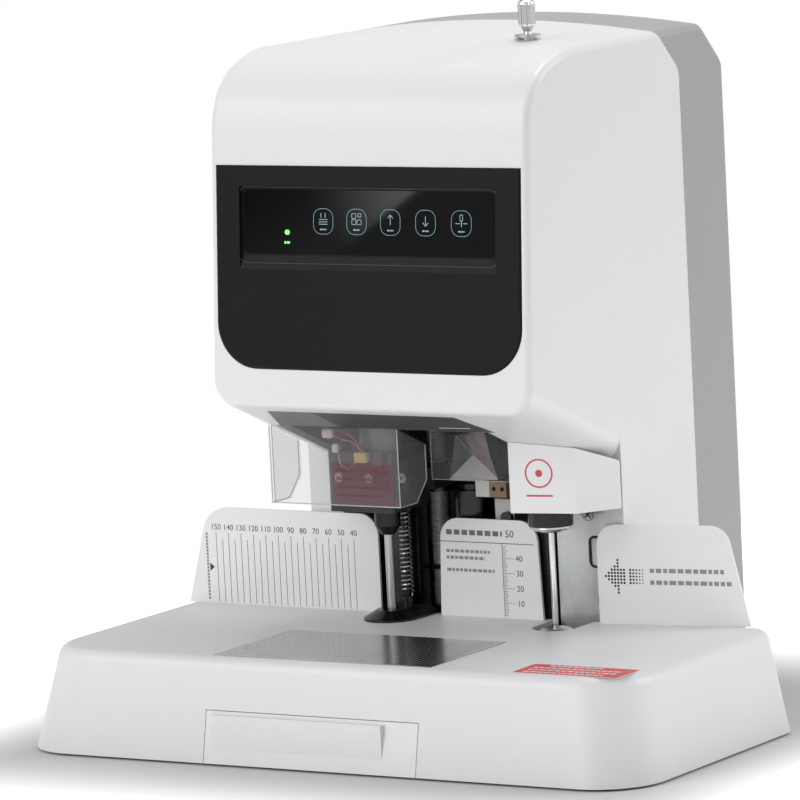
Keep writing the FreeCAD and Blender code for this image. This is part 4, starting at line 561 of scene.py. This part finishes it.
def add_studio():
    """White surround with a dark screen to the front left, which the panel mirrors."""
    for light in LIGHTS:
        add_light(*light)
    world = bpy.data.worlds.new("studio")
    tree = Nodes(world)
    direction = tree.add("ShaderNodeTexCoord").outputs["Generated"]
    screen, nearness = mirrored_screen(tree, direction)
    height = tree.vector("DOT_PRODUCT", direction, UPWARD)
    ground, horizon, zenith = STUDIO_LEVELS
    below = tree.ramp(height, -HORIZON_SPREAD, 0.0, ground, horizon)
    sky = tree.ramp(height, 0.0, 1.0, below, zenith)
    surround = tree.nodes["Background"]
    tree.set(surround, "Color", PURE_WHITE)
    tree.set(surround, "Strength", tree.ramp(nearness, *SCREEN_SPREAD, sky, screen))
    backdrop = tree.add("ShaderNodeBackground", Color=PURE_WHITE, Strength=1.0)
    seen = tree.add("ShaderNodeLightPath").outputs["Is Camera Ray"]
    mix = tree.add("ShaderNodeMixShader", Fac=seen)
    tree.set(mix, 1, surround.outputs["Background"])
    tree.set(mix, 2, backdrop.outputs["Background"])
    tree.set(tree.nodes["World Output"], "Surface", mix.outputs["Shader"])
    bpy.context.scene.world = world
    bpy.context.scene.view_settings.view_transform = "Standard"


def add_floor():
    """Round floor under the machine."""
    mesh = bpy.data.meshes.new("floor")
    rim = [(x, y, 0.0) for x, y in circle(0.0, 0.0, FLOOR_RADIUS, FLOOR_SIDES)]
    mesh.from_pydata(rim, [], [tuple(range(FLOOR_SIDES))])
    mesh.materials.append(studio_floor("studio floor"))
    floor = new_object("floor", mesh)


# Meshes and curves of fine pieces, in millimetres

def circle(x, y, radius, steps):
    """Points round a middle."""
    points = []
    for i in range(steps):
        angle = math.tau * i / steps
        points.append((x + radius * math.cos(angle), y + radius * math.sin(angle)))
    return points


def rounded(x, y, width, height, corner, steps=6):
    """Rounded rectangle about a middle, as a loop of points."""
    points = []
    for across, upward, quarter in ((1, 1, 0), (-1, 1, 1), (-1, -1, 2), (1, -1, 3)):
        cx = x + across * (width / 2 - corner)
        cy = y + upward * (height / 2 - corner)
        for i in range(steps + 1):
            angle = math.pi / 2 * (quarter + i / steps)
            points.append((cx + corner * math.cos(angle), cy + corner * math.sin(angle)))
    return points


def bridge(mesh, lower, upper):
    """Faces between two loops with the same number of points."""
    for i in range(len(lower)):
        j = (i + 1) % len(lower)
        mesh.faces.new((lower[i], lower[j], upper[j], upper[i]))


def mesh_data(name, mesh):
    """Mesh data from a working mesh, which is freed."""
    data = bpy.data.meshes.new(name)
    mesh.to_mesh(data)
    mesh.free()
    return data


def carry(name, data, body):
    """Adds an object to the scene, riding on a body."""
    item = new_object(name, data)
    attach(item, body)
    return item


def settle(name, mesh, material, body, smooth=False):
    """Adds a mesh in one material to the scene, riding on a body."""
    mesh.materials.clear()
    mesh.materials.append(material)
    for face in mesh.polygons:
        face.use_smooth = smooth
    return carry(name, mesh, body)


def round_curve(name, radius, rounding, material):
    """Curve with a round section and closed ends, still without its splines."""
    data = bpy.data.curves.new(name, "CURVE")
    data.dimensions = "3D"
    data.bevel_depth = radius * MM
    data.bevel_resolution = rounding
    data.use_fill_caps = True
    data.materials.append(material)
    return data


def wire(name, points, radius, material, body):
    """Soft insulated wire through a few points."""
    data = round_curve(name, radius, 3, material)
    data.resolution_u = 8
    spline = data.splines.new("BEZIER")
    spline.bezier_points.add(len(points) - 1)
    for point, spot in zip(spline.bezier_points, points):
        point.co = mm(*spot)
        point.handle_left_type = point.handle_right_type = "AUTO"
    carry(name, data, body)


def bright_edges(name, runs, radius, body):
    """Painted highlights on the edges of a clear sheet: one thin pale bar along each straight run.
    """
    data = round_curve(name, radius, 2, PAINTED_EDGE_GLINT)
    for run in runs:
        spline = data.splines.new("POLY")
        spline.points.add(len(run) - 1)
        for point, spot in zip(spline.points, run):
            point.co = (*mm(*spot), 1.0)
    carry(name, data, body)


def box_mesh(name, low, high, bevel):
    """Small block with rounded edges."""
    mesh = bmesh.new()
    bmesh.ops.create_cube(mesh, size=1.0)
    middle = (Vector(low) + Vector(high)) / 2
    span = Vector(high) - Vector(low)
    for vert in mesh.verts:
        vert.co = Vector(a * b for a, b in zip(vert.co, span)) + middle
    bmesh.ops.bevel(mesh, geom=mesh.edges[:], offset=bevel, segments=2, affect="EDGES")
    mesh.transform(Matrix.Scale(MM, 4))
    return mesh_data(name, mesh)


def lathe(name, place, profile, material, body):
    """Turned ring from a closed profile of radius and height."""
    mesh = bmesh.new()
    loops = []
    for radius, z in profile:
        loops.append([mesh.verts.new(mm(x, y, z)) for x, y in circle(*place, radius, 64)])
    for lower, upper in zip(loops, loops[1:] + loops[:1]):
        bridge(mesh, lower, upper)
    bmesh.ops.recalc_face_normals(mesh, faces=mesh.faces)
    settle(name, mesh_data(name, mesh), material, body)


# Prints

class Print:
    """Thin raised ink on a flat face, drawn in the face's own directions in millimetres."""

    def __init__(self, name, origin, right, up, material):
        self.name = name
        self.material = material
        right, up = Vector(right).normalized(), Vector(up).normalized()
        normal = right.cross(up)
        turn = Matrix((right, up, normal)).transposed().to_4x4()
        start = (Vector(origin) + normal * PRINT_LIFT) * MM
        self.matrix = Matrix.Translation(start) @ turn @ Matrix.Scale(MM, 4)
        self.mesh = bmesh.new()

    def polygon(self, points):
        self.mesh.faces.new(self.corners(points))

    def bar(self, left, low, right, high):
        self.polygon([(left, low), (right, low), (right, high), (left, high)])

    def corners(self, points):
        """New corners of the drawing."""
        return [self.mesh.verts.new((x, y, 0)) for x, y in points]

    def band(self, outer, inner):
        """Closed strip between two loops with the same number of points."""
        bridge(self.mesh, self.corners(outer), self.corners(inner))

    def frame(self, x, y, width, height, corner, stroke):
        """Outline of a rounded rectangle about a middle."""
        outer = rounded(x, y, width, height, corner)
        inner = rounded(x, y, width - 2 * stroke, height - 2 * stroke, corner - stroke)
        self.band(outer, inner)

    def disc(self, x, y, radius, steps=20):
        self.polygon(circle(x, y, radius, steps))

    def ring(self, x, y, radius, stroke, steps=48):
        self.band(circle(x, y, radius, steps), circle(x, y, radius - stroke, steps))

    def line(self, start, end, stroke):
        start, end = Vector(start), Vector(end)
        along = (end - start).normalized()
        side = Vector((-along.y, along.x)) * stroke / 2
        self.polygon([start - side, end - side, end + side, start + side])

    def number(self, value, x, y, height):
        """A plain number centred at a place."""
        data = bpy.data.curves.new(f"{self.name}_digits", "FONT")
        data.body = str(value)
        data.align_x = "CENTER"
        data.align_y = "CENTER"
        data.size = height * DIGIT_SIZE_SHARE
        data.resolution_u = 3
        holder = new_object(f"{self.name}_digits", data)
        graph = bpy.context.evaluated_depsgraph_get()
        shape = bpy.data.meshes.new_from_object(holder.evaluated_get(graph))
        shape.transform(Matrix.Translation((x, y, 0)))
        self.mesh.from_mesh(shape)
        bpy.data.objects.remove(holder)
        bpy.data.meshes.remove(shape)

    def place(self, body, slot):
        """Gives the drawing its thickness and adds it to the scene."""
        bmesh.ops.remove_doubles(self.mesh, verts=self.mesh.verts, dist=PRINT_MERGE)
        bmesh.ops.recalc_face_normals(self.mesh, faces=self.mesh.faces)
        for face in self.mesh.faces:
            if face.normal.z < 0:
                face.normal_flip()
        bmesh.ops.solidify(self.mesh, geom=self.mesh.faces[:], thickness=PRINT_THICKNESS)
        self.mesh.transform(self.matrix)
        settle(self.name, mesh_data(self.name, self.mesh), self.material, body)


def upright_print(name, y, material):
    """Print on a face that looks to the front."""
    return Print(name, (0, y, 0), ACROSS, UPWARD, material)


def flat_print(name, z, material):
    """Print on a face that looks up."""
    return Print(name, (0, 0, z), ACROSS, INWARD, material)


def fence_print(name, material):
    """Print on the left or centre fence."""
    return upright_print(name, FENCE_FACE, material)


def panel_print(name, material):
    """Print on the touch panel, measured up its slope from the fascia's foot."""
    return Print(name, PANEL_ORIGIN + PANEL_IN * GLASS_FACE, ACROSS, PANEL_UP, material)


def dashes(pen, left, right, z, height, seed):
    """Row of plain blocks where the real plate has small words."""
    x, step = left, seed
    while x < right:
        step = (step * 7 + 3) % 11
        width = height * (0.9 + 0.08 * step)
        pen.bar(x, z - height / 2, min(x + width, right), z + height / 2)
        x += width + height * 0.45


def left_scale():
    """Millimetre scale, counted leftwards from the drill."""
    foot, five_top, ten_top, number_middle = 69.4, 112.4, 116.6, 120.4
    lines = fence_print("left_scale_lines", SCALE_INK)
    numbers = fence_print("left_scale_numbers", BLACK_PRINT_AND_PAINTED_SHADE)
    for reach in range(40, 151, 5):
        x = SCALE_ZERO - reach
        is_ten = reach % 10 == 0
        lines.bar(x - 0.2, foot, x + 0.2, ten_top if is_ten else five_top)
        if is_ten:
            numbers.number(reach, x, number_middle, SCALE_DIGITS)
    numbers.polygon([(-200.6, 90.3), (-197.0, 93.1), (-200.6, 95.9)])
    words = fence_print("left_scale_words", ROW_INK)
    for count in range(20):
        low = 71.0 + 2.3 * count
        words.bar(-203.0, low, -201.4, low + 1.7)
    for pen in (words, lines, numbers):
        pen.place("machine", "black_plastic")


def centre_scale():
    """Thickness scale, its header rule and rows of plain blocks."""
    rule, spine_left, spine_right, number_middle = 118.1, 30.3, 30.7, 43.2
    marks = fence_print("centre_scale_marks", BLACK_PRINT_AND_PAINTED_SHADE)
    marks.bar(-18.3, rule, 55.0, rule + 0.45)
    for up in (10, 20, 30, 40):
        marks.number(up, number_middle, DECK + up, SCALE_DIGITS)
    marks.number(50, 36.6, 124.6, 4.8)
    fine = fence_print("centre_scale_ticks", SCALE_INK)
    fine.bar(spine_left, DECK + 0.8, spine_right, rule)
    for up in range(2, 49):
        reach = 9.0 if up % 10 == 0 else 4.0 if up % 5 == 0 else 2.6
        fine.bar(spine_right, DECK + up - 0.14, spine_right + reach, DECK + up + 0.14)
    rows = fence_print("centre_scale_rows", ROW_INK)
    for row, (z, right) in enumerate(((112.0, 21.0), (107.6, 17.0), (99.4, 24.0))):
        dashes(rows, -12.5, right, z, 2.0, row + 2)
    header = fence_print("centre_scale_header", SCALE_INK)
    dashes(header, -12.0, 31.0, 124.6, 3.4, 5)
    for pen in (marks, fine, rows, header):
        pen.place("machine", "black_plastic")


def right_arrow():
    """Arrow of dots on the angled fence, pointing to the rivet station."""
    right = (math.cos(RIGHT_FENCE_ANGLE), math.sin(RIGHT_FENCE_ANGLE), 0)
    origin = (RIGHT_FENCE_LEFT, FENCE_FACE, 0)
    dots = Print("right_fence_arrow", origin, right, UPWARD, BLACK_PRINT_AND_PAINTED_SHADE)
    pitch, radius, shrink, full_columns = 2.15, 0.84, 0.09, 8
    for column, reach in enumerate(ARROW_COLUMNS):
        if reach is None:
            continue
        size = radius - shrink * max(column - full_columns, 0)
        for row in range(-reach, reach + 1):
            dots.disc(5.6 + column * pitch, 99.9 + row * pitch, size, 10)
    dots.place("machine", "black_plastic")
    rows = Print("right_fence_rows", origin, right, UPWARD, ROW_INK)
    for z, end in ((104.0, 88.0), (96.2, 93.0)):
        dashes(rows, 36.5, end, z, 2.8, 3)
    rows.place("machine", "black_plastic")


def deck_label():
    """Plain red and white adhesive patch on the deck, with rows of blocks."""
    middle = (174.5, -142.0)
    base = flat_print("deck_label_white", DECK, WHITE_INK)
    base.polygon(rounded(*middle, 78.0, 31.0, 2.5))
    top = flat_print("deck_label_red", DECK + 0.1, RED_INK)
    top.polygon(rounded(*middle, 76.0, 29.0, 2.0))
    rows = flat_print("deck_label_rows", DECK + 0.2, WHITE_INK)
    ends = ((142.0, 200.0), (142.0, 206.0), (142.0, 206.0), (150.0, 188.0))
    for count, (left, right) in enumerate(ends):
        dashes(rows, left, right, -152.5 + 7.0 * count, 2.6, count + 1)
    for pen in (base, top, rows):
        pen.place("machine", "white_shell")


def plate_lines():
    """Fine scribed lines across the deck plate."""
    (left, front, _), (right, back, top) = box_mm("work_plate")
    pitch, half_width, border = 4.0, 0.17, 1.5
    pen = flat_print("plate_lines", top, LINE_GREY)
    x = left + pitch
    while x < right - pitch / 2:
        pen.bar(x - half_width, front + border, x + half_width, back - border)
        x += pitch
    pen.place("machine", "steel")


def cover_mark():
    """Plain red ring, dot and bar on the rivet cover."""
    start, end = Vector((63.5, -27.4, 0)), Vector((108.5, -19.0, 0))
    mark = Print("cover_ring_mark", start, end - start, UPWARD, SOFT_RED_INK)
    mark.ring(20.5, 172.5, 9.6, 1.1)
    mark.disc(20.5, 172.5, 2.4, 24)
    mark.bar(11.5, 157.2, 29.5, 158.4)
    mark.place("machine", "white_shell")


def icon_stack(pen, x, y):
    """Three sheets under two pins."""
    for count in range(3):
        pen.bar(x - 3.2, y - 3.4 + 1.5 * count, x + 3.2, y - 3.0 + 1.5 * count)
    for side in (-1.6, 1.6):
        pen.line((x + side, y + 4.0), (x + side, y + 0.8), 0.4)


def icon_blocks(pen, x, y):
    """Four small frames."""
    for across, up in ((-2.0, -1.6), (2.0, -1.6), (-2.0, 2.4)):
        pen.frame(x + across, y + up, 3.4, 3.4, 0.6, 0.35)
    pen.frame(x + 2.3, y + 2.9, 2.6, 2.6, 0.5, 0.35)


def icon_arrow(pen, x, y, sign):
    """Arrow up, or down with the sign -1."""
    pen.line((x, y - 3.0 * sign), (x, y + 3.2 * sign), 0.4)
    for side in (-1, 1):
        pen.line((x + 2.0 * side, y + 1.3 * sign), (x, y + 3.5 * sign), 0.4)


def icon_rise(pen, x, y):
    """Arrow up."""
    icon_arrow(pen, x, y, 1)


def icon_fall(pen, x, y):
    """Arrow down."""
    icon_arrow(pen, x, y, -1)


def icon_drill(pen, x, y):
    """Bit over a parted line."""
    pen.frame(x, y + 2.2, 2.4, 4.2, 0.6, 0.35)
    pen.line((x, y), (x, y - 3.6), 0.5)
    for side in (-1, 1):
        pen.line((x + 4.4 * side, y - 1.4), (x + 1.2 * side, y - 1.4), 0.4)


def touch_keys():
    """Outlines and plain icons of the touch keys, and a short row under the lamp."""
    rims = panel_print("touch_key_rims", KEY_INK)
    icons = panel_print("touch_key_icons", ICON_INK)
    draw = (icon_stack, icon_blocks, icon_rise, icon_fall, icon_drill)
    for x, icon in zip(KEY_PLACES, draw):
        rims.frame(x, KEY_HEIGHT, 15.2, 16.8, 6.0, 0.32)
        icon(icons, x, KEY_HEIGHT + 1.4)
        dashes(icons, x - 2.4, x + 2.4, KEY_HEIGHT - 5.2, 0.9, 4)
    rims.place("machine", "touch_panel")
    icons.place("machine", "touch_panel")
    under = panel_print("lamp_underline", FINISHES["lamp_green"])
    dashes(under, -64.2, -60.0, LAMP_LINE_HEIGHT, 1.3, 6)
    under.place("machine", "lamp_green")


def glass_bezel():
    """Moulded edge with rounded corners round the touch panel, and a lighter band on the recess's
    rim, a painted highlight along its edge.
    """
    (left, _, foot), (right, _, top) = box_mm("touch_glass")
    width, middle = right - left, (right + left) / 2
    tall, height = top - foot, (top + foot) / 2 - PANEL_FOOT
    pen = panel_print("glass_bezel", FINISHES["fascia_black"])
    outer = rounded(middle, height, width - 0.2, tall - 0.2, 0.3)
    pen.band(outer, rounded(middle, height, width - 2.6, tall - 2.2, 3.6))
    pen.place("machine", "fascia_black")
    rim = Print("recess_rim_highlight", PANEL_ORIGIN, ACROSS, PANEL_UP, RIM_PAINTED_HIGHLIGHT)
    rim_middle, rim_tall = height - 2.2, tall + 5.6
    outer = rounded(middle, rim_middle, width + 2.0, rim_tall, 5.0)
    rim.band(outer, rounded(middle, rim_middle, width + 1.2, rim_tall - 0.8, 4.6))
    rim.place("machine", "fascia_black")


def shield_print():
    """Plain tinted film on the clear shield, with a ring and rows of blocks."""
    film = upright_print("shield_film", SHIELD_Y[0], TINTED_FILM)
    film.bar(-59.0, 151.0, -10.8, 178.5)
    film.place("machine", "clear")
    marks = upright_print("shield_marks", SHIELD_Y[0] - 0.1, MARK_RED)
    marks.ring(-47.6, 181.4, 6.6, 0.5, 32)
    for row in range(4):
        dashes(marks, -55.0, -16.0 - 5 * (row % 2), 173.5 - row * 5.4, 1.5, row + 3)
    marks.place("machine", "clear")


def crosses(name, spots, face, reach, body):
    """Painted shade of the cross recesses on screw heads: a black cross in each, with a thin dark
    ring for the shade round the head.
    """
    pen = upright_print(name, face, BLACK_PRINT_AND_PAINTED_SHADE)
    for x, z in spots:
        for side in (-1, 1):
            pen.line((x - reach, z - reach * side), (x + reach, z + reach * side), reach * 0.45)
        pen.ring(x, z, reach * 1.9, reach * 0.16, 32)
    pen.place(body, "zinc")


def screw_details():
    """Painted recess shade on the screws of the drill head, its lug and the station plate."""
    head, plate = box_mm("head_screws")[0][1], box_mm("plate_screws")[0][1]
    head_spots, lug_spots = ((-67.9, 165.0), (-44.5, 165.0)), ((-23.5, 165.0),)
    crosses("head_screw_recess_shade", head_spots, head, 1.5, "drill_carriage")
    crosses("lug_screw_recess_shade", lug_spots, head + 7.2, 1.5, "drill_carriage")
    crosses("plate_screw_recess_shade", ((92.0, 138.7), (101.55, 82.0)), plate, 2.2, "machine")


def switch_marks():
    """Plain on and off marks on the power rocker."""
    up = (0, math.sin(ROCKER_LEAN), math.cos(ROCKER_LEAN))
    pen = Print("rocker_marks", ROCKER_MIDDLE, (-1, 0, 0), up, WHITE_INK)
    pen.bar(-0.25, 1.4, 0.25, 3.6)
    pen.ring(0.0, -2.5, 1.1, 0.4, 24)
    pen.place("rocker_body", "black_plastic")


# Fine pieces

def threaded_rod(name, node, body, slot, place, low, high, crest, root, pitch):
    """Screw with a real helical thread, in place of its plain solid."""
    steps, rows_per_turn, flank = 24, 6, 1.5
    mesh = bmesh.new()
    rows = int((high - low) / pitch * rows_per_turn)
    rings = []
    for row in range(rows + 1):
        z = low + (high - low) * row / rows
        fade = min(1.0, (z - low) / pitch, (high - z) / pitch)
        ring = []
        for step in range(steps):
            angle = math.tau * step / steps
            phase = (z / pitch - step / steps) % 1.0
            tooth = min(1.0, (1.0 - abs(phase * 2.0 - 1.0)) * flank)
            radius = root + (crest - root) * tooth * fade
            x, y = place[0] + radius * math.cos(angle), place[1] + radius * math.sin(angle)
            ring.append(mesh.verts.new(mm(x, y, z)))
        rings.append(ring)
    for lower, upper in zip(rings, rings[1:]):
        bridge(mesh, lower, upper)
    mesh.faces.new(list(reversed(rings[0])))
    mesh.faces.new(rings[-1])
    item = settle(name, mesh_data(name, mesh), THREAD_STEEL, body, smooth=True)
    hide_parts(node)


def ribbed_knob():
    """Needle knob with a domed top, fine upright ribs and a tapered foot."""
    low, high = (corner[2] for corner in box_mm("needle_knob"))
    steps, groove = 72, 0.93
    rows = (
        (2.6, low, False), (2.4, low + 1.4, False), (5.3, low + 5.4, False),
        (5.6, low + 6.4, True), (5.6, high - 3.6, True), (5.1, high - 1.8, False),
        (3.6, high - 0.5, False), (1.6, high, False),
    )
    mesh = bmesh.new()
    loops = []
    for radius, z, ribbed in rows:
        loop = []
        for step, (x, y) in enumerate(circle(0.0, 0.0, radius, steps)):
            share = groove if ribbed and step % 3 == 0 else 1.0
            loop.append(mesh.verts.new(mm(RIVET[0] + x * share, RIVET[1] + y * share, z)))
        loops.append(loop)
    for lower, upper in zip(loops, loops[1:]):
        bridge(mesh, lower, upper)
    mesh.faces.new(loops[-1])
    mesh.faces.new(list(reversed(loops[0])))
    data = mesh_data("needle_knob_ribbed", mesh)
    item = settle("needle_knob_ribbed", data, KNOB_CHROME, "guide_needle_body")
    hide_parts("needle_knob")


def heater_disc():
    """Bright disc under the heater ring."""
    foot = box_mm("heater_ring")[0][2]
    profile = [
        (9.0, foot + 0.3), (14.0, foot + 0.3), (14.2, foot - 1.2), (12.0, foot - 2.9),
        (9.0, foot - 3.3),
    ]
    lathe("heater_disc", RIVET, profile, DISC_STEEL, "press_head")


def top_near(node, y):
    """Highest point of a node's mesh near a depth, in millimetres."""
    heights = [v.co.z for v in frame["nodes"][node].data.vertices if abs(v.co.y / MM - y) < 2.5]
    return max(heights) / MM


def shield_edges():
    """Painted highlights along the edges of the drill shield and of the second guard."""
    front, back = SHIELD_Y
    top_front, top_back = top_near("drill_shield", front), top_near("drill_shield", back)
    inset = 0.5
    runs = []
    for x, sign in ((SHIELD_X[0] + inset, 1), (SHIELD_X[1] - inset, -1)):
        runs.append([
            (x, front + inset, top_front - inset),
            (x, front + inset, SHIELD_LOW + inset),
            (x, back - SHIELD_CUT, SHIELD_LOW + inset),
            (x, back - inset, SHIELD_LOW + SHIELD_CUT),
            (x, back - inset, top_back - inset),
        ])
        inner = x + (SHEET - 2 * inset) * sign
        runs.append([(inner, front + SHEET, top_front - inset), (inner, front + SHEET, SHIELD_LOW)])
    runs.append([(x, front + inset, SHIELD_LOW + inset) for x in SHIELD_X])
    bright_edges("shield_edges", runs, 0.34, "machine")
    (left, front, foot), (right, _, top) = box_mm("second_guard")
    depth = front + 0.8
    sides = [(left, depth, foot), (right, depth, foot)]
    run = [(left, depth, top - 2), *sides, (right, depth, top - 2)]
    bright_edges("second_guard_edge_glints", [run], 0.3, "machine")


def folded_film():
    """Thin clear film behind the second guard, folded along slanting creases; its pale and rose
    facets are painted reflections.
    """
    spots = [
        (-19.0, 10.0, 161.0), (-3.0, 7.0, 160.8), (34.3, 7.0, 162.0), (44.5, 10.0, 163.0),
        (-19.0, 10.0, 193.0), (2.7, 7.5, 190.1), (7.7, 11.0, 189.0), (16.5, 7.0, 193.2),
        (24.9, 8.0, 193.0), (13.2, 12.0, 176.8), (25.7, 12.5, 175.4), (44.5, 8.0, 188.0),
    ]
    sheets = (
        ("film_clear", THIN_CLEAR, [(0, 1, 5, 4), (10, 2, 3, 11), (8, 10, 11)]),
        ("film_pale_painted_reflection", PALE_PAINTED_REFLECTION, [(1, 2, 9)]),
        ("film_rose_painted_reflection", ROSE_PAINTED_REFLECTION, [(9, 10, 8, 7, 6), (10, 9, 2)]),
        ("film_grey", FINISHES["clear"], [(1, 9, 6, 5), (5, 6, 7)]),
    )
    for name, material, faces in sheets:
        used = sorted({index for face in faces for index in face})
        order = {index: place for place, index in enumerate(used)}
        data = bpy.data.meshes.new(name)
        corners = [tuple(order[index] for index in face) for face in faces]
        data.from_pydata([mm(*spots[index]) for index in used], [], corners)
        item = settle(name, data, material, "machine")
        item.modifiers.new("sheet", "SOLIDIFY").thickness = 0.3 * MM
    # The film's creases get painted highlights as well.
    creases = [[spots[5], spots[9], spots[2]], [spots[1], spots[2]], [spots[1], spots[9]]]
    bright_edges("film_crease_glints", creases, 0.2, "machine")


def head_inside():
    """Plates of painted shade and a latch bar on the sloping belly, ahead of the way for the drill.
    """
    lean = math.atan(BELLY_SLOPE)
    up = (0, -math.cos(lean), math.sin(lean))
    plates = (
        ("belly_painted_deep_shade", PAINTED_DEEP_SHADE, [(-50.0, 0.4), (68.0, 0.4), (58.0, 38.0), (-50.0, 38.0)]),
        ("belly_painted_half_shade", PAINTED_HALF_SHADE, [(-97.0, 0.4), (-50.1, 0.4), (-50.1, 38.0), (-84.0, 38.0)]),
    )
    for name, material, corners in plates:
        plate = Print(name, (0, *BELLY_EDGE), ACROSS, up, material)
        plate.polygon(corners)
        plate.place("machine", "black_plastic")
    bar = []
    for x, y in ((32.0, -59.0), (57.0, -60.8)):
        bar.append((x, y, BELLY_EDGE[1] - BELLY_SLOPE * (y - BELLY_EDGE[0]) - 0.5))
    wire("belly_latch_bar", bar, 0.8, ROD_STEEL, "machine")


def slot_rim():
    """Black edging round the station plate's slot, with the pale liner behind it."""
    rim = upright_print("slot_edging", 24.0, FINISHES["rubber"])
    rim.band(rounded(97.5, 113.75, 14.0, 21.5, 4.5), rounded(97.5, 113.75, 10.6, 18.1, 2.8))
    rim.place("machine", "rubber")
    liner = box_mesh("slot_liner", (92.0, 25.0, 104.4), (103.0, 26.3, 123.1), 0.3)
    settle("slot_liner", liner, FINISHES["white_shell"], "machine")


def head_wiring():
    """Plugs and wires at the top of the drill head."""
    plugs = (
        ("plug_pale_high", (-77.5, -30.5, 191.5), (-69.0, -24.5, 197.5), PLUG_PALE, "nylon"),
        ("plug_yellow", (-53.4, -31.0, 176.0), (-43.0, -25.4, 182.6), PLUG_YELLOW, "nylon"),
        ("plug_pale_low", (-70.5, -30.0, 181.8), (-65.5, -25.4, 187.5), PLUG_PALE, "nylon"),
        ("plug_red", (-40.0, -29.0, 172.5), (-32.5, -25.4, 183.0), MARK_RED, "brown_plastic"),
    )
    for name, low, high, material, slot in plugs:
        settle(name, box_mesh(name, low, high, 0.7), material, "drill_carriage")
    routes = (
        ("wire_red_first", WIRE_RED,
         [(-69.5, -27, 195.5), (-62, -29, 196), (-53, -29.5, 192), (-48, -28.5, 182)]),
        ("wire_red_second", WIRE_RED,
         [(-69.5, -28, 193.5), (-62, -31, 191.5), (-52, -31, 189), (-46, -28.5, 182)]),
        ("wire_pale", WIRE_PALE,
         [(-66, -28, 184), (-63, -31, 175), (-58, -31, 172), (-52, -28.5, 177)]),
        ("wire_black", WIRE_BLACK,
         [(-70, -27, 193), (-60, -27, 186), (-50, -28.5, 187), (-38, -27.5, 182)]),
    )
    for name, material, points in routes:
        wire(name, points, 0.6, material, "drill_carriage")


dress_nodes()
soften_nodes()
left_scale()
centre_scale()
right_arrow()
deck_label()
plate_lines()
cover_mark()
touch_keys()
glass_bezel()
threaded_rod("lift_screw_thread", "lift_screw", "lift_screw_body", "steel", **LIFT_THREAD)
shield_edges()
folded_film()
head_inside()
heater_disc()
ribbed_knob()
shield_print()
screw_details()
slot_rim()
head_wiring()
switch_marks()
add_camera()
add_studio()
add_floor()
